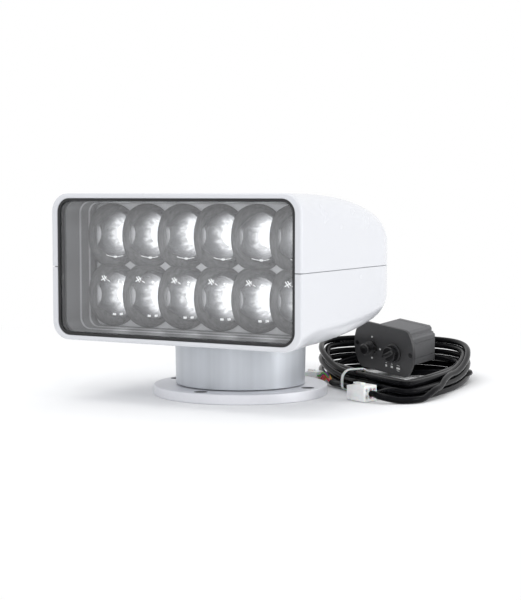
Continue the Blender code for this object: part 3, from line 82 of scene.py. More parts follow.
# %% Shader sums
class Value:
    """An output socket that Python arithmetic works on."""

    def __init__(self, socket):
        self.socket = socket

    def sum(self, operation, first, second):
        tree = self.socket.id_data
        node = tree.nodes.new("ShaderNodeMath")
        node.operation = operation
        for slot, value in zip(node.inputs, (first, second)):
            if isinstance(value, Value):
                tree.links.new(value.socket, slot)
            else:
                slot.default_value = value
        return Value(node.outputs[0])

    def __add__(self, other):
        return self.sum("ADD", self, other)

    def __radd__(self, other):
        return self.sum("ADD", other, self)

    def __sub__(self, other):
        return self.sum("SUBTRACT", self, other)

    def __rsub__(self, other):
        return self.sum("SUBTRACT", other, self)

    def __mul__(self, other):
        return self.sum("MULTIPLY", self, other)

    def __rmul__(self, other):
        return self.sum("MULTIPLY", other, self)

    def __pow__(self, other):
        return self.sum("POWER", self, other)


class Shading:
    """A shader tree, with one way to add any node."""

    def __init__(self, tree):
        self.tree = tree

    def link(self, slot, value):
        if isinstance(value, Value):
            self.tree.links.new(value.socket, slot)
        else:
            slot.default_value = value

    def node(self, kind, settings=None, sockets=None, output=0):
        made = self.tree.nodes.new("ShaderNode" + kind)
        for key, value in (settings or {}).items():
            if key == "stops":
                stops = made.color_ramp.elements
                while len(stops) < len(value):
                    stops.new(0.5)
                for stop, (place, grey) in zip(stops, value):
                    stop.position = place
                    stop.color = (grey, grey, grey, 1.0)
            else:
                setattr(made, key, value)
        for key, value in (sockets or {}).items():
            self.link(made.inputs[key], value)
        return Value(made.outputs[output])

    def between(self, mask, first, second):
        """A colour between two colours, by a mask."""
        return self.node("Mix", {"data_type": "RGBA"}, {0: mask, 6: first, 7: second}, 2)

    def ease(self, value, low, high):
        """0 below low, 1 above high and smooth between."""
        sockets = {"Value": value, "From Min": low, "From Max": high}
        return self.node("MapRange", {"interpolation_type": "SMOOTHSTEP"}, sockets)

    def spot(self, scale=(1.0, 1.0, 1.0)):
        """The surface's own coordinates in metres, stretched by a scale."""
        own = self.node("TexCoord", output="Object")
        return self.node("Mapping", None, {"Vector": own, "Scale": scale}, "Vector")

    def grain(self, size, detail=2.0, stretch=(1.0, 1.0, 1.0)):
        """Soft noise from 0 to 1 whose blots are about this many metres across."""
        sockets = {"Vector": self.spot(stretch), "Scale": 1.0 / size, "Detail": detail, "Roughness": 0.5}
        return self.node("TexNoise", None, sockets, 0)


def finish(name, plain):
    """A material: constants go straight on its shader's sockets, and it comes back with its tree."""
    material = bpy.data.materials.new(name)
    material.use_nodes = True
    work = Shading(material.node_tree)
    work.material = material
    work.shader = material.node_tree.nodes["Principled BSDF"]
    for socket, value in plain.items():
        work.shader.inputs[socket].default_value = value
    return work


def tone(colour, factor=1.0):
    return (*[min(1.0, c * factor) for c in colour], 1.0)


def surface(
    name, colour, rough, spread=0.03, size=0.02, peel=0.0, peel_size=0.001, rough_spread=0.05,
    stretch=(1.0, 1.0, 1.0), **plain
):
    """A moulded or painted surface: uneven colour and gloss, and a fine relief in its skin."""
    work = finish(name, {key.replace("_", " "): value for key, value in plain.items()})
    blot = work.grain(size, 3.0, stretch)
    work.link(
        work.shader.inputs["Base Color"],
        work.between(blot, tone(colour, 1 - spread), tone(colour, 1 + spread))
    )
    work.link(
        work.shader.inputs["Roughness"],
        work.grain(size * 0.6) * (2 * rough_spread) + (rough - rough_spread)
    )
    if peel:
        relief = work.grain(peel_size, 2.0)
        bump = work.node("Bump", None, {"Height": relief, "Distance": peel, "Strength": 1.0})
        work.link(work.shader.inputs["Normal"], bump)
    return work


print("shader helpers ready")

# %% [markdown]
# ## Studio
# A pale floor and soft light from above, left and right. The background is white where it is looked
# at, mirrored or seen through glass, and dimmer as a light, so that the white head doesn't burn
# out. The floor fades to that white away from the lamp, and keeps the soft shadow below it.

# %% Light and background
world = bpy.data.worlds.new("studio")
bpy.context.scene.world = world
world.use_nodes = True
world.node_tree.nodes.clear()
sky = Shading(world.node_tree)


def looked_at(work):
    """1 where a surface is seen, mirrored or seen through glass, and 0 where it only gives light."""
    rays = work.node("LightPath").socket.node.outputs
    seen = Value(rays["Is Camera Ray"]) + Value(rays["Is Glossy Ray"]) + Value(
        rays["Is Transmission Ray"]
    )
    return work.node("Clamp", None, {"Value": seen})


seen = looked_at(sky)
ambient = sky.node("Background", None, {"Color": (0.97, 0.98, 1.0, 1.0), "Strength": 0.72})
white = sky.node("Background", None, {"Color": (1.0, 1.0, 1.0, 1.0), "Strength": 1.0})
mixed = sky.node("MixShader", None, {0: seen, 1: ambient, 2: white})
out = world.node_tree.nodes.new("ShaderNodeOutputWorld")
world.node_tree.links.new(mixed.socket, out.inputs["Surface"])


def softbox(name, place, aim, size, power):
    """A rectangular studio lamp that looks at a point."""
    lamp = bpy.data.lights.new(name, "AREA")
    lamp.shape = "RECTANGLE"
    lamp.size, lamp.size_y = size
    lamp.energy = power
    stand = bpy.data.objects.new(name, lamp)
    stand.location = place
    stand.rotation_euler = (Vector(aim) - Vector(place)).to_track_quat("-Z", "Y").to_euler()
    bpy.context.scene.collection.objects.link(stand)
    return stand


softbox("top_box", (-0.2, -0.1, 1.6), (0.0, 0.0, 0.1), (1.4, 1.2), 8.0)
softbox("left_box", (-1.3, -1.2, 0.9), (0.0, 0.0, 0.12), (0.8, 1.2), 0.8)
softbox("right_box", (1.3, 0.25, 0.36), (0.05, 0.05, 0.04), (0.6, 0.6), 5.4)
softbox("front_box", (0.75, -1.7, 0.4), (0.05, 0.05, 0.04), (1.1, 0.7), 2.5)
for side in (-0.2, 0.2):
    softbox(f"strip_{side}", (0.5 + side, -1.3, 1.25), (0.05, 0.05, 0.08), (0.12, 0.3), 1.6)

floor_paint = finish(
    "floor_paint", {"Roughness": 0.9, "Specular IOR Level": 0.1, "Base Color": (1.0, 1.0, 1.0, 1.0)}
)
own = floor_paint.node("TexCoord", output="Object")
away = floor_paint.node("VectorMath", {"operation": "LENGTH"}, {0: own}, "Value")
fade = floor_paint.ease(away, 0.3, 0.75)
glow = floor_paint.node("Emission", None, {"Color": (1.0, 1.0, 1.0, 1.0), "Strength": 1.0})
blend = floor_paint.node(
    "MixShader", None,
    {0: fade * looked_at(floor_paint), 1: Value(floor_paint.shader.outputs[0]), 2: glow}
)
floor_paint.link(floor_paint.tree.nodes["Material Output"].inputs["Surface"], blend)
plane = bpy.data.meshes.new("floor")
reach = 6.0
plane.from_pydata(
    [(x, y, -0.0002) for x, y in ((-reach, -reach), (reach, -reach), (reach, reach), (-reach, reach))],
    [], [(0, 1, 2, 3)]
)
plane.materials.append(floor_paint.material)
floor = bpy.data.objects.new("floor", plane)
bpy.context.scene.collection.objects.link(floor)
print("studio: four soft boxes, two strips and a floor")

# %% [markdown]
# ## Mesh helpers
# Most of this lamp is either turned, like a pot on a wheel, or lofted, like a hull over its frames.
# Both are a grid of points with faces between its rows. `piece` then gives the mesh its finish,
# says which moving body it rides on, and which solids of the model it stands for.

# %% Mesh helpers
def loft(rings, closed=False, caps=True):
    """A skin over rings of equally many points."""
    work = bmesh.new()
    rows = [[work.verts.new(point) for point in ring] for ring in rings]
    pairs = list(zip(rows, rows[1:]))
    if closed:
        pairs.append((rows[-1], rows[0]))
    elif caps:
        work.faces.new(rows[0])
        work.faces.new(rows[-1])
    for near, far in pairs:
        for i in range(len(near)):
            j = (i + 1) % len(near)
            work.faces.new((near[i], near[j], far[j], far[i]))
    bmesh.ops.recalc_face_normals(work, faces=work.faces)
    return work


def lathe(profile, steps, open_mouth=False):
    """A form turned about Z from (radius, height) points; it closes on itself or on the axis."""
    work = bmesh.new()
    rows = []
    for radius, height in profile:
        if radius == 0.0:
            rows.append([work.verts.new((0.0, 0.0, height))] * steps)
        else:
            turn = 2 * math.pi / steps
            rows.append(
                [
                    work.verts.new((radius * math.cos(i * turn), radius * math.sin(i * turn), height))
                    for i in range(steps)
                ]
            )
    pairs = list(zip(rows, rows[1:]))
    if not open_mouth and (profile[0][0] != 0.0 or profile[-1][0] != 0.0):
        pairs.append((rows[-1], rows[0]))
    for near, far in pairs:
        for i in range(steps):
            j = (i + 1) % steps
            corners = []
            for vert in (near[i], near[j], far[j], far[i]):
                if vert not in corners:
                    corners.append(vert)
            if len(corners) > 2:
                work.faces.new(corners)
    bmesh.ops.recalc_face_normals(work, faces=work.faces)
    return work


def block(size, centre, bevel=0.0, segments=2):
    """A rectangular block with rounded edges."""
    work = bmesh.new()
    bmesh.ops.create_cube(work, size=1.0)
    bmesh.ops.scale(work, vec=size, verts=work.verts)
    if bevel:
        bmesh.ops.bevel(
            work, geom=list(work.edges), offset=bevel, segments=segments, profile=0.5, affect="EDGES",
            clamp_overlap=True
        )
    bmesh.ops.translate(work, vec=centre, verts=work.verts)
    return work


def rod(radius, start, end, steps=24):
    """A plain cylinder between two points."""
    start, end = Vector(start), Vector(end)
    work = lathe(
        [(0.0, 0.0), (radius, 0.0), (radius, (end - start).length), (0.0, (end - start).length)], steps
    )
    turn = Vector((0, 0, 1)).rotation_difference((end - start).normalized()).to_matrix().to_4x4()
    bmesh.ops.transform(work, matrix=Matrix.Translation(start) @ turn, verts=work.verts)
    return work


def mesh_of(name, *works, place=None, sharp=32.0):
    """One mesh from one or more bmeshes, moved into place, smooth except at real edges."""
    mesh = bpy.data.meshes.new(name)
    whole = bmesh.new()
    for work in works:
        part = bpy.data.meshes.new(name + "_part")
        work.to_mesh(part)
        work.free()
        whole.from_mesh(part)
        bpy.data.meshes.remove(part)
    if place is not None:
        bmesh.ops.transform(whole, matrix=place, verts=whole.verts)
    whole.to_mesh(mesh)
    whole.free()
    mesh.shade_smooth()
    mesh.set_sharp_from_angle(angle=math.radians(sharp))
    return mesh


def show(name, mesh):
    made = bpy.data.objects.new(name, mesh)
    bpy.context.scene.collection.objects.link(made)
    return made


def applied(thing, sharp=32.0):
    """The mesh that an object's modifiers give, and the object is gone."""
    bpy.context.view_layer.update()
    mesh = bpy.data.meshes.new_from_object(thing.evaluated_get(bpy.context.evaluated_depsgraph_get()))
    bpy.data.objects.remove(thing)
    mesh.shade_smooth()
    mesh.set_sharp_from_angle(angle=math.radians(sharp))
    return mesh


def carve(mesh, steps, sharp=32.0):
    """Booleans, one after another: each step is an operation and the bmeshes it works with."""
    target = show("carving", mesh)
    tools = []
    for operation, works in steps:
        tool = show("tool", mesh_of("tool", *works))
        modifier = target.modifiers.new(operation, "BOOLEAN")
        modifier.operation = operation
        modifier.solver = "EXACT"
        modifier.use_self = len(works) > 1
        modifier.object = tool
        tools.append(tool)
    made = applied(target, sharp)
    for tool in tools:
        bpy.data.objects.remove(tool)
    return made


def piece(name, mesh, paint, body, nodes=()):
    """A finished piece: its material, the body it rides on and the solids it stands for."""
    made = show(name, mesh)
    mesh.materials.clear()
    mesh.materials.append(paint.material)
    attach(made, body)
    if nodes:
        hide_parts(*nodes)
    print(name, len(mesh.polygons), "faces")
    return made


def second_finish(thing, paint, chosen):
    """Another finish on the faces that a test picks."""
    thing.data.materials.append(paint.material)
    picked = [face for face in thing.data.polygons if chosen(face)]
    for face in picked:
        face.material_index = 1
    print(thing.name, "second finish on", len(picked), "faces")


def arc(x, y, radius, start, end, points):
    made = []
    for i in range(points):
        angle = math.radians(start + (end - start) * i / (points - 1))
        made.append((x + radius * math.cos(angle), y + radius * math.sin(angle)))
    return made


def rounded_rectangle(half_width, low, high, radius, steps=12):
    """An outline in (x, z), anticlockwise from its lower right corner."""
    outline = []
    radius = min(radius, 0.98 * half_width, 0.49 * (high - low))
    for x, z, start in (
        (half_width - radius, low + radius, -90.0), (half_width - radius, high - radius, 0.0),
        (-half_width + radius, high - radius, 90.0), (-half_width + radius, low + radius, 180.0)
    ):
        outline += arc(x, z, radius, start, start + 90.0, steps + 1)
    return outline


# %% [markdown]
# ## Cable
# The harness is about five metres of round six-millimetre cable. It was folded in the middle and
# wound double, so both ends leave the coil the same way round. Its strands lie side by side in
# front and pile up at the back. A strand's place is an angle round the egg-shaped coil, a column
# counted from outside and a layer; it changes column or layer one strand at a time, as a hand-wound
# coil does.

# %% Where a strand lies
CABLE = 6.0 * MM
COIL_CENTRE = Vector((106.0 * MM, 129.4 * MM))
LAYER_PITCH = 6.42 * MM
turned_view = math.radians(24.1)
COIL_RIGHT = Vector((math.cos(turned_view), math.sin(turned_view)))
COIL_AWAY = Vector((-math.sin(turned_view), math.cos(turned_view)))


def coil_edge(turn):
    across = 69.0 * MM * math.cos(turn) * (1 + 0.58 * math.sin(turn)) - 9.0 * MM * math.sin(turn)
    return COIL_CENTRE + COIL_RIGHT * across + COIL_AWAY * (130.0 * MM * math.sin(turn))


def coil_point(angle, inward, height):
    """A point of the coil at an angle, set inward from its outer edge, at a height."""
    turn = math.radians(angle)
    along = (coil_edge(turn + 0.01) - coil_edge(turn - 0.01)).normalized()
    spot = coil_edge(turn) + Vector((-along.y, along.x)) * inward
    return Vector((spot.x, spot.y, height))


def strand(angle, column, layer):
    """The centre of a strand in a column and layer; the two outer columns pile up at the back."""
    share = min(1.0, max(0.0, (math.sin(math.radians(angle)) + 0.35) / 1.2))
    lean = math.radians(78.0) * share * share * (3 - 2 * share)
    close = CABLE * (1 - math.cos(lean))
    low = CABLE / 2 + LAYER_PITCH * layer
    tall = CABLE / 2 + LAYER_PITCH * layer * (1 + math.sin(lean))
    stops = (
        (-1.0, -3.5 * MM, CABLE / 2 + LAYER_PITCH * layer),
        (0.0, CABLE / 2, tall + CABLE * math.sin(lean)), (1.0, CABLE * 1.5 - close, tall),
        (2.0, CABLE * 2.5 - close, low)
    )
    column = min(2.0, max(-1.0, column))
    for (c0, n0, z0), (c1, n1, z1) in zip(stops, stops[1:]):
        if column <= c1:
            part = (column - c0) / (c1 - c0)
            return coil_point(angle, n0 + (n1 - n0) * part, z0 + (z1 - z0) * part)


def along_keys(keys, angle):
    """Column and layer at an angle, eased between key places."""
    for (a0, c0, l0), (a1, c1, l1) in zip(keys, keys[1:]):
        if angle <= a1:
            part = max(0.0, (angle - a0) / (a1 - a0))
            part = part * part * (3 - 2 * part)
            return c0 + (c1 - c0) * part, l0 + (l1 - l0) * part
    return keys[-1][1:]


# %% The cable's route
# From the wires: once in the outer bottom place, then up, inwards, down and inwards again
keys_a = [(-133, -1, 0), (-100, 0, 0), (224, 0, 0), (241, 0, 1), (567, 0, 1), (584, 1, 1), (910, 1, 1)]
keys_a += [(927, 1, 0), (1180, 1, 0), (1215, 2, 0), (1496, 2, 0)]
# From the other connector: up over the outside, then inwards along the top, and down
keys_b = [
    (-68, -1, 0.04), (-48, -1.0, 0.9), (-22, 0, 2), (190, 0, 2), (215, 1, 2), (495, 1, 2), (525, 2, 2)
]
keys_b += [(820, 2, 2), (855, 2, 1), (1128, 2, 1)]

PLUG_A = (Vector((31.5 * MM, 90.5 * MM)), -10.0, mm(17.0, 13.0, 13.0))
PLUG_B = (Vector((123.7 * MM, 8.5 * MM)), -22.0, mm(25.0, 16.0, 15.0))


def plug_place(plug):
    spot, turn, size = plug
    return Matrix.Translation((spot.x, spot.y, 0.3 * MM)) @ Matrix.Rotation(math.radians(turn), 4, "Z")


beside = -3.5 * MM
gather = coil_point(-171.0, beside - 1.6 * MM, 4.6 * MM)
place_a, place_b = plug_place(PLUG_A), plug_place(PLUG_B)
ahead = place_a @ Vector(mm(14.5, 0, 6.5))
run = (gather - ahead).normalized()
route = [gather + run * 0.6 * MM, gather + run * 4.6 * MM]
route += [coil_point(a, beside, 4.6 * MM) for a in (-163.0, -156.0, -149.0, -143.0)]
angle = -135.0
while angle < 1486.0:
    route.append(strand(angle, *along_keys(keys_a, angle)))
    angle += 9.0

half_b = [
    place_b @ Vector(mm(12.8, 0, 7.5)), place_b @ Vector(mm(18.5, 0, 7.5)),
    place_b @ Vector(mm(25.5, 0.5, 5.9)), coil_point(-99.0, beside - 5 * MM, 3.3 * MM),
    coil_point(-88.0, beside - 1 * MM, 3.3 * MM), coil_point(-78.0, beside, 3.3 * MM),
    coil_point(-68.0, beside, 3.3 * MM)
]
angle = -59.0
while angle < 1112.0:
    half_b.append(strand(angle, *along_keys(keys_b, angle)))
    angle += 9.0

# The fold: a loose loop on the floor inside the coil, under the control box
last, before = route[-1], route[-2]
ahead_dir = (last - before).normalized()
inward_dir = Vector((-ahead_dir.y, ahead_dir.x, 0.0))
fold = []
for forward, inward, height in (
    (14, 1.5, 3.0), (29, 7, 3.0), (39, 17, 3.0), (42, 30, 3.0), (36, 43, 3.0), (23, 51, 3.0),
    (7, 50, 3.2), (-8, 42, 4.0), (-22, 30, 5.4), (-36, 18, 7.2), (-50, 9.5, 8.6), (-64, 4.5, 9.3),
):
    spot = last + ahead_dir * forward * MM + inward_dir * inward * MM
    fold.append(Vector((spot.x, spot.y, height * MM)))
while (half_b[-1] - fold[-1]).dot(ahead_dir) > -14 * MM and (half_b[-1] - last).length < 0.2:
    half_b.pop()
route = route + fold + half_b[::-1]
print("cable route:", len(route), "points")


# %% Smooth the cable and give it its round section
def smooth_line(points, spacing):
    """Evenly spaced points on a smooth curve through the given ones."""
    ends = [2 * points[0] - points[1]] + points + [2 * points[-1] - points[-2]]
    fine = []
    for a, b, c, d in zip(ends, ends[1:], ends[2:], ends[3:]):
        for i in range(12):
            t = i / 12
            fine.append(
                0.5
                * (
                    2 * b + (c - a) * t + (2 * a - 5 * b + 4 * c - d) * t**2
                    + (3 * b - a - 3 * c + d) * t**3
                )
            )
    fine.append(points[-1])
    length = sum((q - p).length for p, q in zip(fine, fine[1:]))
    count = max(3, round(length / spacing))
    made, walked, target = [fine[0]], 0.0, length / count
    for p, q in zip(fine, fine[1:]):
        step = (q - p).length
        while step > 0 and walked + step >= target * len(made) and len(made) < count:
            made.append(p.lerp(q, (target * len(made) - walked) / step))
        walked += step
    made.append(fine[-1])
    return made, length


def round_line(name, points, diameter, paint, resolution=4):
    """A tube of one open line of points."""
    curve = bpy.data.curves.new(name, "CURVE")
    curve.dimensions = "3D"
    curve.bevel_depth = diameter / 2
    curve.bevel_resolution = resolution
    curve.use_fill_caps = True
    line = curve.splines.new("POLY")
    line.points.add(len(points) - 1)
    for point, spot in zip(line.points, points):
        point.co = (*spot, 1.0)
    curve.materials.append(paint.material)
    made = bpy.data.objects.new(name, curve)
    bpy.context.scene.collection.objects.link(made)
    return made


cable_sheath = surface("cable_sheath", (0.005, 0.005, 0.006), 0.18, spread=0.3, size=0.01, peel=0.000006,
                       peel_size=0.006, rough_spread=0.04, IOR=1.13)
cable_line, cable_length = smooth_line(route, 0.005)
cable = round_line("harness_cable", cable_line, CABLE, cable_sheath)
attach(cable, "base")
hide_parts("cable_coil", "cable_tail_a", "cable_tail_b")
print("cable length %.2f m" % cable_length)

# %% [markdown]
# ## Paints, plastics, metals and glass
# The shells are gloss white moulded plastic with a clear top coat, so they get a coat and a faint
# ripple. The turret and flange are silver powder paint on cast metal: slightly metallic and grainy.
# The turret's colour also has upright streaks, which are painted reflections.
# Black parts are never quite black. Clear parts are a mix of see-through and mirror by angle, which
# is how a thin pane looks and which also exports as plain transparency.

# %% Finishes
shell_white = surface("shell_white", (0.675, 0.685, 0.715), 0.26, spread=0.012, size=0.05, peel=0.000006,
                      peel_size=0.0022, rough_spread=0.04, Coat_Weight=0.35, Coat_Roughness=0.12)
seam_grey = surface("seam_grey", (0.30, 0.31, 0.33), 0.6, spread=0.06)
# Painted reflections: the turret's colour varies in long upright streaks
turret_silver = surface("turret_silver", (0.56, 0.585, 0.62), 0.38, spread=0.16, size=0.011, peel=0.00002,
                        peel_size=0.0007, stretch=(1.0, 1.0, 0.02), Metallic=0.35)
flange_silver = surface("flange_silver", (0.78, 0.785, 0.82), 0.44, spread=0.03, size=0.004, peel=0.00003,
                        peel_size=0.0007, Metallic=0.2)
gasket_black = surface("gasket_black", (0.012, 0.012, 0.013), 0.55, spread=0.25, peel=0.00003)
shroud_satin = surface(
    "shroud_satin", (0.27, 0.27, 0.275), 0.36, spread=0.06, size=0.01, peel=0.00001, Metallic=0.35
)
tray_satin = surface("tray_satin", (0.72, 0.72, 0.73), 0.32, spread=0.05, size=0.008, Metallic=0.3)
board_green = surface("board_green", (0.03, 0.12, 0.06), 0.5, spread=0.15, size=0.004)
bare_aluminium = surface("bare_aluminium", (0.72, 0.73, 0.74), 0.35, spread=0.05, Metallic=1.0)
painted_hole_shade = surface("painted_hole_shade", (0.16, 0.162, 0.166), 0.5, spread=0.06, Metallic=0.4)
bright_steel = surface("bright_steel", (0.60, 0.60, 0.59), 0.3, spread=0.06, Metallic=1.0)
sintered_bronze = surface(
    "sintered_bronze", (0.50, 0.34, 0.17), 0.45, spread=0.12, size=0.001, Metallic=0.9
)
gear_nylon = surface("gear_nylon", (0.76, 0.74, 0.68), 0.5, spread=0.04)
panel_charcoal = surface(
    "panel_charcoal", (0.048, 0.048, 0.050), 0.5, spread=0.12, size=0.002, peel=0.00006,
    peel_size=0.0006
)
box_charcoal = surface("box_charcoal", (0.15, 0.151, 0.155), 0.55, spread=0.10, size=0.003, peel=0.00006,
                       peel_size=0.0007, Specular_IOR_Level=0.12)
knob_black = surface("knob_black", (0.007, 0.007, 0.008), 0.33, spread=0.25, size=0.002, peel=0.00002)
mark_white = surface("mark_white", (0.80, 0.80, 0.79), 0.5, spread=0.05, size=0.001)
nylon_white = surface("nylon_white", (0.90, 0.90, 0.89), 0.33, spread=0.05, size=0.004, peel=0.00002,
                      Subsurface_Weight=0.25, Subsurface_Scale=0.004)
print("opaque finishes made")


# %% [markdown]
# ## Metallised bowls
# The bowls are bright metal with painted shade and light: their colour is darker near the mouth
# and lighter deep inside. Deep inside they also carry a painted glow, as if the lamp core lit the
# wall, and it grows with the depth below the tray. Fine streaks run down the wall.

# %% Bowl and lamp core
BOWL_MOUTH_Y, BOWL_FLOOR_Y = (-122.6 + 52.4) * MM, (-122.6 + 52.4 + 22.0) * MM
mirror_bowl = finish("mirror_bowl", {"Metallic": 0.55, "Specular IOR Level": 0.5})
height = mirror_bowl.node("SeparateXYZ", None, {0: mirror_bowl.node("TexCoord", output="Object")}, "Y")
deep = mirror_bowl.ease(height, BOWL_MOUTH_Y, BOWL_FLOOR_Y)
streak = mirror_bowl.grain(0.0035, 3.0, (1.0, 0.15, 1.0))
# Painted light and shade: a mask that is low at the bowl's mouth and high deep inside, with streaks
painted_light_mask = mirror_bowl.node("Clamp", None, {"Value": deep + (streak - 0.5) * 0.7 * deep})
mirror_bowl.link(
    mirror_bowl.shader.inputs["Base Color"],
    mirror_bowl.between(painted_light_mask, tone((0.26, 0.263, 0.266)), tone((0.50, 0.50, 0.51)))
)
mirror_bowl.link(mirror_bowl.shader.inputs["Roughness"], mirror_bowl.grain(0.004) * 0.12 + 0.16)
# Painted glow: deep in the bowl the wall itself emits light, as if lit by the core
painted_glow = (painted_light_mask ** 6.0) * 0.9
mirror_bowl.link(mirror_bowl.shader.inputs["Emission Color"], mirror_bowl.between(
    mirror_bowl.node("Clamp", None, {"Value": painted_glow}), (0.0, 0.0, 0.0, 1.0), (1.0, 1.0, 1.0, 1.0)))
mirror_bowl.shader.inputs["Emission Strength"].default_value = 1.0
lamp_core = surface("lamp_core", (0.92, 0.92, 0.92), 0.4, spread=0.06, size=0.002,
                    Emission_Color=(1.0, 1.0, 1.0, 1.0), Emission_Strength=1.2)
# Painted highlights: the glint bars on the domes are white and glow
painted_glint = surface("painted_glint", (0.90, 0.90, 0.90), 0.2, spread=0.06, size=0.002,
                    Emission_Color=(1.0, 1.0, 1.0, 1.0), Emission_Strength=0.6)
print("bowl finishes made")

# %% [markdown]
# ## Clear finishes
# The window is a flat pane that mirrors more at a slant. A lamp dome is thick clear plastic:
# straight on one sees through it into its bowl. Towards its rim it turns to a painted grey, which
# stands in for the dark surroundings seen through its edge. It has upright bands, which come partly
# from the mould and are partly painted reflections of what stands round it.

# %% Window and lens
def clear(name, tint, mirror, rough, low, high, power, bands=0.0, rim=0.0):
    """See-through straight on and mirroring at a slant, with upright stripes and a painted grey rim if
    wanted.
    """
    work = finish(name, {})
    through = work.node("BsdfTransparent", None, {"Color": tone(tint)})
    gloss = work.node("BsdfGlossy", None, {"Color": tone(mirror), "Roughness": rough})
    slant = work.node("LayerWeight", None, {"Blend": 0.5}, "Facing")
    mask = (slant ** power) * (high - low) + low
    # Upright bands in how much it mirrors: partly mould marks, partly painted reflections
    if bands:
        mask = mask + (work.grain(0.006, 2.0, (1.0, 1.0, 0.12)) - 0.5) * bands
    mask = work.node("Clamp", None, {"Value": mask})
    mixed = work.node("MixShader", None, {0: mask, 1: through, 2: gloss})
    if rim:
        # Painted shade: toward the dome's edge a streaked grey stands in for the dark surroundings seen
        # through it
        turned_away = work.ease(slant, 0.14, 0.34)
        edge = work.node("Attribute", {"attribute_name": "edge"}, output="Fac")
        near = work.ease(edge, 0.15, 0.6)
        painted_rim_streaks = work.grain(0.003, 2.0, (1.0, 1.0, 0.25))
        painted_rim_grey = work.node(
            "BsdfDiffuse", None, {"Color": work.between(painted_rim_streaks, tone((0.10,) * 3), tone((0.40,) * 3))}
        )
        mixed = work.node("MixShader", None, {0: turned_away * near * rim, 1: mixed, 2: painted_rim_grey})
    work.link(work.tree.nodes["Material Output"].inputs["Surface"], mixed)
    work.tree.nodes.remove(work.shader)
    return work


window_pane = clear("window_pane", (0.95, 0.955, 0.96), (0.9, 0.9, 0.92), 0.02, 0.075, 0.6, 3.0)
lens_clear = clear(
    "lens_clear", (0.93, 0.935, 0.94), (0.60, 0.60, 0.605), 0.05, 0.06, 0.60, 1.7, 0.2, 0.85
)
print("clear finishes made")

# %% [markdown]
# ## Lamp head
# Each shell is one skin: across, every section is a rounded rectangle, and from front to back the
# roof, the floor and the sides follow three curves that close at the rear. The same rule as the
# solid model's makes it, with many more sections, so it stays in the same place and is smooth. The
# wall is real: an inner skin, the window edge, the rounded rim and the outer skin.

# %% Head sections
HALF_WIDTH, FRONT, DEPTH = 130.0 * MM, -122.6 * MM, 213.5 * MM
TOP, BOTTOM, PARTING = 190.4 * MM, 56.2 * MM, 123.2 * MM
WALL, PLAN_ROUND, TILT_Z = 2.6 * MM, 52.0 * MM, 60.0 * MM
WINDOW = (123.5 * MM, 60.6 * MM, 186.0 * MM, 13.0 * MM)
WINDOW_DEPTH = 8.4 * MM


def head_section(depth, inset=0.0):
    share = min(max(depth, 0.0) / (DEPTH - inset), 1.0)
    top = PARTING + (TOP - PARTING) * (1 - share**3.04) ** (1 / 2.31) - inset
    bottom = PARTING - (PARTING - BOTTOM) * (1 - share**2.1) ** 0.25 + inset
    into_round = max(0.0, share * DEPTH - (DEPTH - PLAN_ROUND))
    half_width = HALF_WIDTH - PLAN_ROUND - inset + math.sqrt(max(0.0, PLAN_ROUND**2 - into_round**2))
    blend = min(1.0, max(depth, 0.0) / (40.0 * MM))
    corner = 17.0 * MM + 7.0 * MM * blend * blend * (3 - 2 * blend) - inset
    return [(x, FRONT + depth, z) for x, z in rounded_rectangle(half_width, bottom, top, corner)]


def window_section(depth, inset=0.0):
    half_width, low, high, corner = WINDOW
    outline = rounded_rectangle(half_width - inset, low + inset, high - inset, corner - inset)
    return [(x, FRONT + depth, z) for x, z in outline]


def depths(first, last, count):
    return [first + (last - first) * math.sin(math.pi / 2 * i / (count - 1)) for i in range(count)]


def head_skin(inset=0.0, rows=64):
    """The hollow casing in one closed skin; an inset makes it thinner from outside."""
    end = DEPTH * 0.9994
    inner = [head_section(d, WALL) for d in depths(WINDOW_DEPTH, end - WALL, 24)]
    rim = [window_section(WINDOW_DEPTH), window_section(0.6 * MM), window_section(0.0, -0.6 * MM)]
    edge = 2.2 * MM
    rounding = []
    for i in range(6):
        angle = math.pi / 2 * i / 5
        rounding.append(head_section(edge * (1 - math.sin(angle)), edge * (1 - math.cos(angle)) + inset))
    outer = [head_section(d, inset) for d in depths(edge, end, rows)[1:]]
    return loft(inner[::-1] + rim + rounding[::-1] + outer)


# %% Upper and lower shell
SEAM = 0.38 * MM
middle_y = FRONT + DEPTH / 2


def half_space(low, high):
    return block((0.6, 0.6, high - low), (0, middle_y, (low + high) / 2))


upper = carve(mesh_of("upper_skin", head_skin()), [("INTERSECT", [half_space(PARTING + SEAM, 0.3)])])
piece("upper_skin", upper, shell_white, "head", ["upper_shell"])

well_roof, well_radius = 64.2 * MM, 66.0 * MM
posts = [(side * 112.0 * MM, y) for side in (-1, 1) for y in (-29.8 * MM, 18.0 * MM)]
seat = PARTING - 14.0 * MM
cup = lathe([(0.0, 54.0 * MM), (well_radius + WALL, 54.0 * MM), (well_radius + WALL, well_roof + WALL),
             (0.0, well_roof + WALL)], 96)
pillars = [rod(5.5 * MM, (x, y, 54.0 * MM), (x, y, PARTING - SEAM), 32) for x, y in posts]
middle_of_wall = loft([head_section(d, WALL / 2) for d in depths(WINDOW_DEPTH, DEPTH * 0.99, 32)])
inner_works = carve(mesh_of("well_and_posts", cup, *pillars), [("INTERSECT", [middle_of_wall])])
well_and_posts = bmesh.new()
well_and_posts.from_mesh(inner_works)
lugs = []
for side in (-1, 1):
    lugs.append(rod(6.6 * MM, (side * 19.4 * MM, 0, TILT_Z), (side * 27.4 * MM, 0, TILT_Z), 40))
    lugs.append(block(mm(8, 12.7, 6), (side * 23.4 * MM, 0, well_roof - 1.6 * MM)))
hollow = [lathe([(0.0, 45 * MM), (well_radius, 45 * MM), (well_radius, well_roof), (0.0, well_roof)], 96)]
wells = [rod(3.5 * MM, (x, y, 50 * MM), (x, y, seat), 24) for x, y in posts]
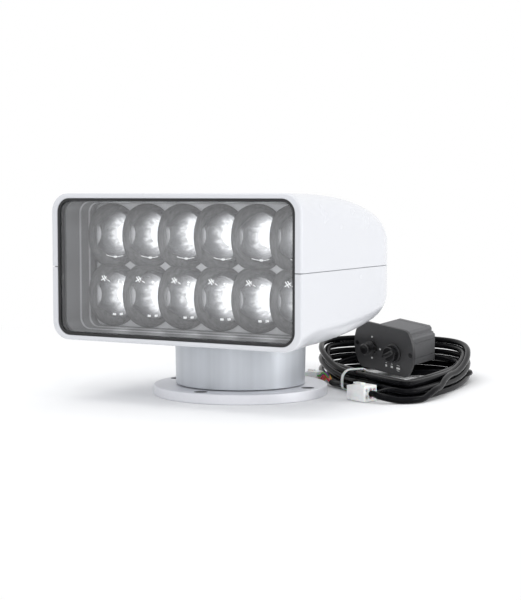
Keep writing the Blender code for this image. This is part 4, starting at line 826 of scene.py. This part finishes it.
slot = [block(mm(38.2, 42.8, 10.4), (0, 0, well_roof + WALL / 2))]
bore = [rod(4.3 * MM, (-28.4 * MM, 0, TILT_Z), (28.4 * MM, 0, TILT_Z), 40)]
lower = carve(
    mesh_of("lower_skin", head_skin()),
    [
        ("INTERSECT", [half_space(0.02, PARTING - SEAM)]), ("UNION", [well_and_posts]),
        ("DIFFERENCE", hollow), ("UNION", lugs), ("DIFFERENCE", slot + wells), ("DIFFERENCE", bore)
    ]
)
piece("lower_skin", lower, shell_white, "head", ["lower_shell"])


def seam_corner(side, share, inset):
    """Where the parting line runs, as a share of the head's depth, at an inset from the outer skin."""
    depth = share * 0.9994 * (DEPTH - inset)
    return side * max(x for x, y, z in head_section(depth, inset)), FRONT + depth


rings = []
shares = [0.02 + 0.98 * math.sin(math.pi / 2 * i / 47) for i in range(48)]
for side, order in ((1, shares), (-1, shares[::-1])):
    for share in order:
        near, far = seam_corner(side, share, 0.7 * MM), seam_corner(side, share, 2.2 * MM)
        low, high = PARTING - SEAM, PARTING + SEAM
        rings.append([(*near, low), (*near, high), (*far, high), (*far, low)])
piece("seam_gasket", mesh_of("seam_gasket", loft(rings)), seam_grey, "head")

# %% [markdown]
# ## Window
# A black gasket holds the pane in the rim. Behind it stands the stepped grey shroud. All are lofts
# of the window's own outline at several depths, so they follow each other round the corners.

# %% Gasket, pane and shroud
gap, band = 0.3 * MM, 2.2 * MM
rings = [window_section(0.9 * MM, gap), window_section(0.6 * MM, gap + 0.4 * MM)]
rings += [window_section(0.6 * MM, gap + band - 0.5 * MM), window_section(1.1 * MM, gap + band)]
rings += [window_section(WINDOW_DEPTH - gap, gap + band), window_section(WINDOW_DEPTH - gap, gap)]
piece(
    "pane_gasket", mesh_of("pane_gasket", loft(rings, closed=True)), gasket_black, "head",
    ["window_seal"]
)

edge = gap + band + gap
rings = [
    window_section(2.0 * MM, edge + 0.8 * MM), window_section(2.8 * MM, edge),
    window_section(6.0 * MM, edge)
]
piece("window_pane", mesh_of("window_pane", loft(rings)), window_pane, "head", ["window_glass"])

middle_z = (WINDOW[1] + WINDOW[2]) / 2
SHROUD_HALF = (119.6 * MM, 59.6 * MM)
LENS_PLANE = 52.4 * MM


def shroud_section(depth, inset, outward=0.0):
    half_width, half_height = (half - inset + outward for half in SHROUD_HALF)
    outline = rounded_rectangle(
        half_width, middle_z - half_height, middle_z + half_height, 11.0 * MM - inset + outward
    )
    return [(x, FRONT + depth, z) for x, z in outline]


back = LENS_PLANE - gap
rings = [
    shroud_section(8.7 * MM, 0.0), shroud_section(29.0 * MM, 0.0), shroud_section(30.6 * MM, 0.9 * MM)
]
rings += [shroud_section(42.0 * MM, 0.9 * MM), shroud_section(43.6 * MM, 1.8 * MM)]
rings += [shroud_section(back, 1.8 * MM), shroud_section(back, 0.0, 1.8 * MM)]
rings += [shroud_section(10.7 * MM, 0.0, 1.8 * MM), shroud_section(10.7 * MM, 0.0, 3.4 * MM)]
rings += [shroud_section(8.7 * MM, 0.0, 3.4 * MM)]
shroud = piece(
    "stepped_shroud", mesh_of("stepped_shroud", loft(rings, closed=True)), shroud_satin, "head",
    ["shroud"]
)
# Painted highlights: the faces of the shroud's two steps get the light tray finish, as light lines where
# the steps catch light
second_finish(
    shroud, tray_satin,
    lambda face: any(low < (face.center.y - FRONT) / MM < low + 1.6 for low in (29.0, 42.0))
)

# %% [markdown]
# ## Twelve lamps
# The lamps stand in two rows of six. One reflector cell, one lamp core and one clear dome are made
# here, and a Geometry Nodes tree repeats each on a grid: a grid of points, instances on them, then
# real meshes with their material. One tree serves all three, with the grid's sizes as named inputs.

# %% The grid tree
class Growing:
    """A Geometry Nodes tree that copies its own geometry on points and paints the copies."""

    def __init__(self, name, inputs):
        self.tree = bpy.data.node_groups.new(name, "GeometryNodeTree")
        for label, kind in (("Geometry", "Geometry"), *inputs, ("Paint", "Material")):
            socket_type = "NodeSocket" + kind
            self.tree.interface.new_socket(label, in_out="INPUT", socket_type=socket_type)
        self.tree.interface.new_socket("Geometry", in_out="OUTPUT", socket_type="NodeSocketGeometry")
        self.given = self.tree.nodes.new("NodeGroupInput").outputs

    def node(self, kind, sockets, output=0, **settings):
        made = self.tree.nodes.new(kind)
        for key, value in settings.items():
            setattr(made, key, value)
        for key, value in sockets.items():
            if isinstance(value, bpy.types.NodeSocket):
                self.tree.links.new(value, made.inputs[key])
            else:
                made.inputs[key].default_value = value
        return made.outputs[output]

    def copy_onto(self, points, **aim):
        sockets = {"Points": points, "Instance": self.given["Geometry"], **aim}
        copies = self.node("GeometryNodeInstanceOnPoints", sockets)
        real = self.node("GeometryNodeRealizeInstances", {"Geometry": copies})
        painted = self.node(
            "GeometryNodeSetMaterial", {"Geometry": real, "Material": self.given["Paint"]}
        )
        self.tree.links.new(painted, self.tree.nodes.new("NodeGroupOutput").inputs[0])
        return self.tree


def grid_tree():
    inputs = (("Columns", "Int"), ("Rows", "Int"), ("Column Pitch", "Float"), ("Row Pitch", "Float"))
    work = Growing("lamp_grid", (*inputs, ("Centre", "Vector")))
    spans = {}
    for axis, count, pitch in (("X", "Columns", "Column Pitch"), ("Y", "Rows", "Row Pitch")):
        gaps = work.node("ShaderNodeMath", {0: work.given[count], 1: 1.0}, operation="SUBTRACT")
        span = work.node("ShaderNodeMath", {0: gaps, 1: work.given[pitch]}, operation="MULTIPLY")
        spans.update({"Size " + axis: span, "Vertices " + axis: work.given[count]})
    grid = work.node("GeometryNodeMeshGrid", spans)
    place = {
        "Geometry": grid, "Translation": work.given["Centre"], "Rotation": (math.radians(90.0), 0, 0)
    }
    return work.copy_onto(work.node("GeometryNodeTransform", place))


def trimmed(work, reach, towards):
    """Cuts off what lies further than reach in one direction."""
    normal = Vector(towards)
    everything = list(work.verts) + list(work.edges) + list(work.faces)
    bmesh.ops.bisect_plane(
        work, geom=everything, plane_co=normal * reach, plane_no=normal, clear_outer=True
    )


def repeated(name, mesh, tree, values):
    """The mesh that a Geometry Nodes tree makes of one mesh; its inputs are set by identifier."""
    source = show(name, mesh)
    modifier = source.modifiers.new(name, "NODES")
    modifier.node_group = tree
    for item in tree.interface.items_tree:
        if item.in_out == "INPUT" and item.name in values:
            modifier[item.identifier] = values[item.name]
    return applied(source)


lamp_grid = grid_tree()
PITCH, ROW_PITCH, COLUMNS, ROWS = 39.0 * MM, 57.9 * MM, 6, 2
grid_sizes = {"Columns": COLUMNS, "Rows": ROWS, "Column Pitch": PITCH, "Row Pitch": ROW_PITCH}
print("grid of", COLUMNS * ROWS, "lamps")

# %% [markdown]
# ## Reflectors
# Behind each dome is a round metallised bowl, moulded in one with the tray. The bowls are wider
# than the lamps' pitch, so neighbours meet at a thin upright wall. One bowl is turned, trimmed on
# both sides and repeated. The tray's plate is what is left above and below the bowls, one strip for
# each lamp.

# %% Reflectors and tray
MOUTH, BOWL_FLOOR, BOWL_DEPTH = 22.6 * MM, 11.0 * MM, 22.0 * MM
to_front = Matrix.Rotation(math.radians(90.0), 4, "X")
wall = [(MOUTH, 0.0)]
for i in range(17):
    share = i / 16
    radius = math.sqrt(BOWL_FLOOR**2 + ((MOUTH - 0.4 * MM) ** 2 - BOWL_FLOOR**2) * (1 - share))
    wall.append((radius, -0.4 * MM - (BOWL_DEPTH - 0.4 * MM) * share))
bowl = lathe(wall + [(0.0, -BOWL_DEPTH)], 96, open_mouth=True)
trimmed(bowl, PITCH / 2, (1, 0, 0))
trimmed(bowl, PITCH / 2, (-1, 0, 0))
plate = bmesh.new()
for up in (-1, 1):
    edge = []
    for i in range(25):
        x = PITCH * (i / 24 - 0.5)
        z = up * math.sqrt(MOUTH**2 - x**2)
        edge.append((plate.verts.new((x, z, 0.0)), plate.verts.new((x, up * ROW_PITCH / 2, 0.0))))
    for (a, b), (c, d) in zip(edge, edge[1:]):
        plate.faces.new((a, b, d, c))
for form in (bowl, plate):
    bmesh.ops.recalc_face_normals(form, faces=form.faces)
    if sum(face.normal.z for face in form.faces) < 0:
        bmesh.ops.reverse_faces(form, faces=form.faces)
centre = (0.0, FRONT + LENS_PLANE, middle_z)
septum = block((0.5 * MM, 2 * math.sqrt(MOUTH**2 - (PITCH / 2) ** 2), 8 * MM), (-PITCH / 2, 0, -4 * MM))
tray = repeated("lamp_tray", mesh_of("plate", plate, septum, place=to_front), lamp_grid,
                {**grid_sizes, "Centre": centre, "Paint": tray_satin.material})
bowls = repeated("reflector_bowls", mesh_of("bowl", bowl, place=to_front), lamp_grid,
                 {**grid_sizes, "Centre": centre, "Paint": mirror_bowl.material})
piece("lamp_tray", tray, tray_satin, "head", ["lens_tray"])
piece("reflector_bowls", bowls, mirror_bowl, "head")


def tray_border(depth, half_width, half_height, corner):
    outline = rounded_rectangle(half_width, middle_z - half_height, middle_z + half_height, corner)
    return [(x, FRONT + depth, z) for x, z in outline]


outside, inside = mm(119.6, 59.6, 11.0), mm(116.6, 57.5, 1.0)
rings = [tray_border(LENS_PLANE, *outside), tray_border(LENS_PLANE, *inside)]
rings += [tray_border(LENS_PLANE + 1.2 * MM, *inside), tray_border(LENS_PLANE + 1.2 * MM, *outside)]
cheeks = [
    block(
        mm(1.2, 9, 114),
        (side * (COLUMNS * PITCH / 2 + 0.6 * MM), FRONT + LENS_PLANE + 4.5 * MM, middle_z)
    )
    for side in (-1, 1)
]
piece(
    "tray_border", mesh_of("tray_border", loft(rings, closed=True), *cheeks), tray_satin, "head",
)

# %% [markdown]
# ## Domes and lamp cores
# A dome is a thin cap of a sphere, cut off flat on both sides, because the lamps stand closer
# together than a dome is wide. From the side, each one's edge is then the arc where two caps meet.
# The core is the bright disc at the bottom of its bowl.

# %% Domes and cores
RIM, HEIGHT, BED, SKIN, OVERLAP = 30.2 * MM, 19.0 * MM, 1.2 * MM, 1.4 * MM, 1.45 * MM
rise = HEIGHT - BED
sphere = (RIM**2 + rise**2) / (2 * rise)
sweep = math.degrees(math.asin(RIM / sphere))
outer_arc = arc(0.0, HEIGHT - sphere, sphere, 90.0, 90.0 - sweep, 22)
inner_arc = arc(0.0, HEIGHT - sphere, sphere - SKIN, 90.0 - sweep * 0.985, 90.0, 22)
outer_arc[0], inner_arc[-1] = (0.0, HEIGHT), (0.0, HEIGHT - SKIN)
pair = []
for row in (-1, 1):
    dome = lathe(outer_arc + [(RIM, 0.0), (RIM - 1.6 * MM, 0.0)] + inner_arc, 96)
    bmesh.ops.translate(dome, vec=(0, row * (ROW_PITCH / 2 - OVERLAP), 0), verts=dome.verts)
    for side in (-1, 1):
        trimmed(dome, PITCH / 2 - 0.15 * MM, (side, 0, 0))
    trimmed(dome, -0.15 * MM, (0, -row, 0))
    bmesh.ops.holes_fill(dome, edges=[e for e in dome.edges if e.is_boundary], sides=0)
    pair.append(dome)
dome_pair = mesh_of("dome_pair", *pair, place=to_front, sharp=50.0)
edge_share = dome_pair.attributes.new("edge", "FLOAT", "POINT")
for vert, share in zip(dome_pair.vertices, edge_share.data):
    x, z = abs(vert.co.x), abs(vert.co.z) - (ROW_PITCH / 2 - OVERLAP)
    share.value = max(math.hypot(x, z) / RIM, x / (PITCH / 2))
dome_centre = (0.0, FRONT + LENS_PLANE - gap, middle_z)
domes = repeated("lens_domes", dome_pair, lamp_grid,
                 {**grid_sizes, "Rows": 1, "Centre": dome_centre, "Paint": lens_clear.material})
piece("lens_domes", domes, lens_clear, "head", [f"lens_{i:02d}" for i in range(1, 13)])

core = lathe(in_mm((0.0, 2.4), (5, 2.1), (8, 1.5), (10.7, 0.0), (0.0, -0.2)), 40)
core_centre = (0.0, FRONT + LENS_PLANE + BOWL_DEPTH - 0.2 * MM, middle_z)
cores = repeated("lamp_cores", mesh_of("core", core, place=to_front, sharp=50.0), lamp_grid,
                 {**grid_sizes, "Centre": core_centre, "Paint": lamp_core.material})
piece("lamp_cores", cores, lamp_core, "head")

# %% [markdown]
# ## Painted glints on the domes
# Small glowing bars on each dome are painted highlights: they stand in for the glints of light on
# the domes. The lower dome has two short ones near its foot and a spray of fine ones at its upper
# left. The upper dome has one on a thin bead.

# %% Painted glints
GLINT_STROKES = (
    (-1, 1.0, ((8.2, -17.9), (10.8, -18.0))), (-1, 1.0, ((14.2, -18.0), (16.6, -17.6))),
    (-1, 0.5, ((-3.2, 17.6), (1.6, 13.2))), (-1, 0.45, ((-1.2, 18.2), (2.8, 14.6))),
    (-1, 0.45, ((-2.8, 13.6), (2.4, 17.0))), (-1, 0.4, ((4.2, 14.2), (6.8, 12.8))),
    (1, 0.9, ((9.0, -19.2), (11.4, -19.3))),
    (1, 0.28, ((2.0, -17.6), (5.0, -18.6), (9.0, -19.2), (13.0, -19.2), (17.0, -18.2)))
)


def on_dome(row, x, z):
    """A point just outside a dome's skin, across and up from the dome's centre in millimetres."""
    lift = math.sqrt(sphere**2 - (x * MM) ** 2 - (z * MM) ** 2) + HEIGHT - sphere
    return (x * MM, z * MM + row * (ROW_PITCH / 2 - OVERLAP), lift)


# Each bar of painted highlight lies just on the dome's skin
bars = []
for row, radius, spots in GLINT_STROKES:
    for start, end in zip(spots, spots[1:]):
        bars.append(rod(radius * MM, on_dome(row, *start), on_dome(row, *end), 12))
ribs = repeated("dome_glints", mesh_of("glint_bar_mesh", *bars, place=to_front), lamp_grid,
                {**grid_sizes, "Rows": 1, "Centre": dome_centre, "Paint": painted_glint.material})
piece("dome_glints", ribs, painted_glint, "head")

# %% [markdown]
# ## Turret and flange
# Both are turned castings, so one profile each, spun with many steps, gives clean rounds. The four
# deck screw holes and the cable hole are cut through the flange afterwards.

# %% Turret
profile = in_mm((0.0, 50)) + arc(60.3 * MM, 48.0 * MM, 2.0 * MM, 90.0, 0.0, 7)
profile += in_mm((61.62, 10.8), (61.3, 10.35), (58.6, 10.3), (58.6, 47))
profile += in_mm((24.0, 47), (24.0, 24), (20.3, 24), (20.3, 47), (0.0, 47))
piece("turret_drum", mesh_of("turret_drum", lathe(profile, 160)), turret_silver, "turret",
      ["turret_housing"])

# %% Flange
HOLE_CIRCLE = 72.3 * MM
profile = in_mm((0.0, 9.4), (9, 9.4), (9, 44), (17, 44), (17, 12.7))
profile += in_mm((26, 12.7), (26, 9.4)) + arc(81.6 * MM, 8.0 * MM, 1.4 * MM, 90.0, 0.0, 6)
profile += in_mm((83, 0.7), (82.4, 0.0), (0.0, 0.0))
holes = []
for quarter in range(4):
    turn = math.radians(90.0 * quarter)
    sink = lathe(in_mm((0.0, 10.4), (7.25, 10.4), (6.4, 9.4), (3, 5.4), (3, -1), (0.0, -1)), 40)
    bmesh.ops.translate(
        sink, vec=(HOLE_CIRCLE * math.cos(turn), HOLE_CIRCLE * math.sin(turn), 0), verts=sink.verts
    )
    holes.append(sink)
holes.append(rod(6 * MM, mm(0, 34, -1), mm(0, 34, 11), 32))
flange = carve(mesh_of("deck_flange", lathe(profile, 160)), [("DIFFERENCE", holes)])
flange = piece("deck_flange", flange, flange_silver, "base", ["base_flange"])


def in_hole(face):
    """Whether a face is the wall of a deck screw's countersink, which gets painted shade."""
    reach = abs(max(abs(face.center.x), abs(face.center.y)) - HOLE_CIRCLE)
    return reach < 7 * MM and min(
        abs(face.center.x), abs(face.center.y)
    ) < 7 * MM and 0.1 * MM < face.center.z < 9.3 * MM


# Painted shade: the countersink walls get a dark grey for the shade down in the holes
second_finish(flange, painted_hole_shade, in_hole)

# %% [markdown]
# ## Control unit
# The dash unit is a flat panel with bulging ends, a box behind it, a joystick and a turning knob.
# It lies tilted on the coil, so all of it is made upright in its own frame, and one matrix lays it
# down.

# %% The unit's own frame
lay_down = (
    Matrix.Rotation(math.radians(24.1), 4, "Z")
    @ Matrix.Rotation(math.radians(9.4), 4, "X")
    @ Matrix.Rotation(math.radians(-42.0), 4, "Z")
)
lowest = min((lay_down @ Vector((side * 32.2 * MM, 0, 0))).z for side in (-1, 1))
unit = Matrix.Translation((66.0 * MM, 183.0 * MM, 0.3 * MM - lowest)) @ lay_down
PANEL_HEIGHT = 50.4 * MM
STICK, KNOB = (-15.8 * MM, 24.0 * MM), (14.5 * MM, 23.5 * MM)


def panel_outline(shrink=0.0, steps=17):
    half, bulge, height = 32.2 * MM - shrink, 41.7 * MM - shrink, PANEL_HEIGHT - 2 * shrink
    sagitta = bulge - half
    radius = ((height / 2) ** 2 + sagitta**2) / (2 * sagitta)
    sweep = math.degrees(math.asin(height / 2 / radius)) * 0.93
    right = [(x, z + shrink) for x, z in arc(bulge - radius, height / 2, radius, -sweep, sweep, steps)]
    left = [(-x, z) for x, z in reversed(right)]
    inset = 3.0 * MM
    low, high = shrink, PANEL_HEIGHT - shrink
    return [(-half + inset, low), (half - inset, low)] + right + [
        (half - inset, high), (-half + inset, high)
    ] + left


# %% Panel and box
rings = []
for shrink, y in (
    (0.7 * MM, 0.0), (0.2 * MM, 0.2 * MM), (0.0, 0.7 * MM), (0.0, 3.1 * MM), (0.4 * MM, 3.6 * MM)
):
    rings.append([(x, y, z) for x, z in panel_outline(shrink)])
tools = [rod(6.6 * MM, (STICK[0], -1 * MM, STICK[1]), (STICK[0], 5 * MM, STICK[1]), 40)]
tools.append(rod(3.3 * MM, (KNOB[0], -1 * MM, KNOB[1]), (KNOB[0], 5 * MM, KNOB[1]), 32))
for side in (-1, 1):
    sink = lathe(in_mm((0.0, 1), (3.9, 1), (2.9, 0.0), (1.7, -1.2), (1.7, -5), (0.0, -5)), 24)
    turned_sink = Matrix.Translation((side * 37.2 * MM, 0, PANEL_HEIGHT / 2)) @ to_front
    bmesh.ops.transform(sink, matrix=turned_sink, verts=sink.verts)
    tools.append(sink)
panel = carve(mesh_of("unit_panel", loft(rings)), [("DIFFERENCE", tools)])
panel.transform(unit)
piece("unit_panel", panel, panel_charcoal, "base", ["control_panel"])

half, low, high = 24.6 * MM, 8.0 * MM, 44.0 * MM
step_x, step_z, groove = half - 7.0 * MM, high - 8.0 * MM, 2.4 * MM
section = [(-half, low), (half, low), (half, step_z), (half - groove, step_z + groove / 2)]
section += [
    (half - groove, step_z + groove), (step_x + groove, step_z + groove),
    (step_x + groove, high - groove)
]
section += [(step_x, high), (-half, high)]
front, rear, UNIT_WALL = 3.9 * MM, 53.9 * MM, 2.0 * MM
case = loft([[(x, y, z) for x, z in section] for y in (front, rear)])
bmesh.ops.bevel(
    case, geom=[e for e in case.edges if e.calc_face_angle(0) > 0.6], offset=0.7 * MM, segments=3,
    profile=0.5, affect="EDGES", clamp_overlap=True
)
cuts = []
for y in (10.5 * MM, 47.5 * MM):
    cuts.append(block((2.2 * half, 0.7 * MM, 60 * MM), (0, y, high + 29.5 * MM)))
for z in (low + 7 * MM, step_z - 4.5 * MM):
    cuts.append(block(mm(2, 60, 0.8), (half + 0.4 * MM, 28 * MM, z)))
wall = UNIT_WALL
inside = block(
    (2 * half - 2 * wall, rear - front, step_z - low - 2 * wall),
    (0, (front + rear) / 2 - wall, (low + step_z) / 2)
)
case = carve(mesh_of("unit_case", case), [("DIFFERENCE", cuts), ("DIFFERENCE", [inside])])
case.transform(unit)
piece("unit_case", case, box_charcoal, "base", ["control_box"])

# %% [markdown]
# ## Joystick, knob and panel marks
# The joystick has a ribbed rubber boot under a grip, and the knob is a skirt with a raised wing to
# turn it by. The knob's ribs are one small bar that a Geometry Nodes ring repeats round it. Dots
# and bars mark the joystick's four ways and the knob's three places.

# %% A ring tree for ribs
def ring_tree():
    work = Growing("rib_ring", (("Count", "Int"), ("Radius", "Float")))
    sizes = {"Vertices": work.given["Count"], "Radius": work.given["Radius"]}
    circle = work.node("GeometryNodeMeshCircle", sizes)
    outward = {"Vector": work.node("GeometryNodeInputPosition", {})}
    aim = work.node("FunctionNodeAlignEulerToVector", outward, axis="X", pivot_axis="Z")
    return work.copy_onto(circle, Rotation=aim)


rib_ring = ring_tree()
print("rib ring ready")

# %% Joystick and knob
at_stick = unit @ Matrix.Translation((STICK[0], 1.8 * MM, STICK[1])) @ to_front
profile = in_mm((0.0, 15.0), (3.4, 14.9), (5.2, 14.4), (6.1, 13.4), (6.2, 12.2))
profile += in_mm((5.7, 11.2), (4.2, 10.6), (3.9, 9.8), (5.2, 9.2))
profile += in_mm((5.4, 8.8), (4.7, 8.3), (6.3, 7.5), (6.5, 7.0), (5.8, 6.6))
profile += in_mm((7.4, 6.0), (7.6, 5.6), (2.4, 5.6), (2.4, 3.4))
profile += in_mm((3.4, 1.4), (3.4, -1.4), (2.4, -3.4), (0.0, -3.4))
grip = block(mm(4.6, 11.6, 3.2), mm(0, 0, 13.2), 1.3 * MM, 3)
bmesh.ops.rotate(grip, matrix=Matrix.Rotation(math.radians(-58.0), 3, "Z"), verts=grip.verts)
piece(
    "stick_grip", mesh_of("stick_grip", lathe(profile, 48), grip, place=at_stick), knob_black,
    "joystick", ["joystick"]
)

at_knob = unit @ Matrix.Translation((KNOB[0], 0, KNOB[1])) @ to_front
profile = in_mm((0.0, 8.4), (7.2, 8.4), (7.9, 7.7), (8.4, 2.4), (9.6, 1.9))
profile += in_mm((10.0, 1.4), (10.0, 0.3), (3.0, 0.3), (3.0, -9.6), (0.0, -9.6))
wing = block(mm(5.0, 16.0, 4.6), mm(0, 0, 8.7), 1.6 * MM, 3)
bmesh.ops.rotate(wing, matrix=Matrix.Rotation(math.radians(-58.0), 3, "Z"), verts=wing.verts)
rib = mesh_of("rib", block(mm(0.9, 1.1, 5.2), mm(0, 0, 5.0), 0.3 * MM, 1))
ring_values = {"Count": 24, "Radius": 8.2 * MM, "Paint": knob_black.material}
ribs = bmesh.new()
ribs.from_mesh(repeated("knob_ribs", rib, rib_ring, ring_values))
piece(
    "knob_grip", mesh_of("knob_grip", lathe(profile, 72), wing, ribs, place=at_knob), knob_black,
    "knob", ["mode_knob"]
)

# %% Dots and bars
marks = []
for x, z in ((-1.0, 0.0), (1.0, 0.0), (0.0, 1.0), (0.0, -1.0)):
    marks.append(rod(1.05 * MM, (STICK[0] + x * 11.4 * MM, 0.4 * MM, STICK[1] + z * 11.4 * MM),
                     (STICK[0] + x * 11.4 * MM, -0.12 * MM, STICK[1] + z * 11.4 * MM), 20))
for x, wide in ((4.4, 2.4), (12.2, 3.0), (21.0, 5.0)):
    marks.append(block((wide * MM, 0.5 * MM, 2.3 * MM), (x * MM, 0.13 * MM, 8.2 * MM), 0.15 * MM, 1))
    marks.append(
        block((wide * 0.8 * MM, 0.5 * MM, 0.6 * MM), (x * MM, 0.13 * MM, 11.2 * MM), 0.1 * MM, 1)
    )
marks.append(block(mm(3.4, 0.5, 0.6), mm(21.0, 0.13, 5.6), 0.1 * MM, 1))
piece("panel_marks", mesh_of("panel_marks", *marks, place=unit), mark_white, "base")

# %% [markdown]
# ## Connectors, wires and tie
# The white nylon connectors are blocks with a raised latch, ribs and small round mouths for the
# wires. Seven coloured wires leave one of them and gather into the cable. A nylon tie holds the
# coil: a thin band follows the rounded outline of the strands.

# %% Connectors
def connector(name, plug, columns, rows, nodes):
    spot, turn, (length, width, height) = plug
    works = [block((length * 0.72, width, height), (length * 0.14, 0, height / 2), 0.9 * MM, 3)]
    works.append(
        block(
            (length * 0.34, width * 0.9, height * 0.88), (-length * 0.33, 0, height * 0.47), 0.7 * MM, 2
        )
    )
    works.append(
        block(
            (length * 0.45, width * 0.34, 1.5 * MM), (-length * 0.12, 0, height + 0.6 * MM), 0.5 * MM, 2
        )
    )
    for side in (-1, 1):
        for lift in (0.28, 0.72):
            works.append(
                block(
                    (length * 0.6, 0.8 * MM, 1.0 * MM),
                    (length * 0.12, side * width * 0.5, height * lift), 0.25 * MM, 1
                )
            )
    mesh = mesh_of(name, *works)
    mouths = []
    for i in range(columns):
        for j in range(rows):
            y = (i - (columns - 1) / 2) * width * 0.84 / columns
            z = height / 2 + (j - (rows - 1) / 2) * height * 0.84 / rows
            mouths.append(rod(min(width / columns, height / rows) * 0.34, (length * 0.5 + MM, y, z),
                              (length * 0.5 - 4 * MM, y, z), 16))
    mesh = carve(mesh, [("DIFFERENCE", mouths)])
    mesh.transform(plug_place(plug))
    return piece(name, mesh, nylon_white, "base", nodes)


connector_a = connector("connector_a", PLUG_A, 4, 2, ["plug_a"])
connector_b = connector("connector_b", PLUG_B, 3, 2, ["plug_b"])

# %% Coloured wires
WIRES = (
    ("red", (0.60, 0.03, 0.04)), ("pink", (0.80, 0.16, 0.25)), ("orange", (0.85, 0.28, 0.03)),
    ("yellow", (0.85, 0.70, 0.12)), ("green", (0.10, 0.42, 0.08)), ("purple", (0.22, 0.06, 0.35)),
    ("black", (0.012, 0.012, 0.013)),
)
for number, (colour, shade) in enumerate(WIRES):
    column, level = number % 4, number // 4
    y = (column - 1.5) * 2.6 * MM
    z = (6.5 + (level - 0.5) * 5.2) * MM
    fan = 0.7 if number % 2 else 1.25
    start = place_a @ Vector((5.5 * MM, y, z))
    out = place_a @ Vector((11.0 * MM, y * 1.1, z))
    bow = place_a @ Vector((17.0 * MM, y * fan, z * 0.5 + 8.0 * MM))
    turn = 2 * math.pi * number / 7
    side = run.cross(Vector((0, 0, 1))).normalized()
    offset = (side * math.cos(turn) + Vector((0, 0, 1)) * math.sin(turn)) * 1.75 * MM
    line, length = smooth_line(
        [start, out, bow, gather + offset, gather + run * 5 * MM + offset * 0.9], 0.0012
    )
    paint = surface(f"wire_{colour}", shade, 0.35, spread=0.06, size=0.003, rough_spread=0.05)
    wire = round_line(f"wire_{colour}", line, 1.5 * MM, paint, 3)
    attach(wire, "base")
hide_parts("wire_bundle")

# %% Tie
def tie_ring(grow, shift):
    angle = -158.0
    here, inward = coil_edge(math.radians(angle)), None
    inward = (coil_point(angle, 10 * MM, 0) - coil_point(angle, 0, 0)).normalized()
    along = Vector((inward.y, -inward.x, 0))
    low, high = 1.3 * MM, 19.9 * MM
    left, right = -7.0 * MM, 18.7 * MM
    ring = []
    corners = (
        (right, low, -90, 5.0), (right, high, 0, 4.0), (left, high, 90, 9.0), (left, low, 180, 4.0)
    )
    for s, z, start, radius in corners:
        radius = radius * MM
        cs = s - radius if s > 0 else s + radius
        cz = z - radius if z > 8 * MM else z + radius
        for u, v in arc(cs, cz, radius + grow, start, start + 90, 9):
            spot = Vector((here.x, here.y, 0)) + inward * u + along * shift
            ring.append((spot.x, spot.y, v))
    return ring


half_band = 1.8 * MM
rings = [tie_ring(0.0, -half_band), tie_ring(0.9 * MM, -half_band), tie_ring(1.1 * MM, -half_band * 0.6)]
rings += [tie_ring(1.1 * MM, half_band * 0.6), tie_ring(0.9 * MM, half_band), tie_ring(0.0, half_band)]
tie = piece(
    "nylon_tie", mesh_of("nylon_tie", loft(rings, closed=True)), nylon_white, "base",
    ["cable_tie"]
)

# %% [markdown]
# ## The other solids
# The mechanism inside keeps its solid shapes. Each solid still gets a finish, because it can be
# seen when the head is tilted, from below or through the window.

# %% Finishes of the remaining solids
INSIDE = {
    "tilt_neck": turret_silver, "neck_screw_1": bright_steel, "neck_screw_2": bright_steel,
    "tilt_bush_left": sintered_bronze, "tilt_bush_right": sintered_bronze, "pan_bush": sintered_bronze,
    "tilt_sector": gear_nylon, "pan_gear": gear_nylon, "pan_pinion": gear_nylon,
    "tilt_pinion": gear_nylon, "pan_motor": bright_steel, "tilt_motor": bright_steel,
    "pan_retainer": bright_steel, "tilt_shaft": bright_steel, "pan_seal": gasket_black,
    "cable_grommet": gasket_black, "led_board": board_green, "driver_board": board_green,
    "heat_sink": bare_aluminium, "tilt_bracket": bare_aluminium, "stick_gimbal": bright_steel,
    "unit_socket": nylon_white, "panel_screw_1": knob_black, "panel_screw_2": knob_black,
    "case_screw_1": bright_steel, "case_screw_2": bright_steel, "case_screw_3": bright_steel,
    "case_screw_4": bright_steel
}
for name, paint in INSIDE.items():
    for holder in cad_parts[name].material_slots:
        holder.material = paint.material
print(len(INSIDE), "solids keep their shape")
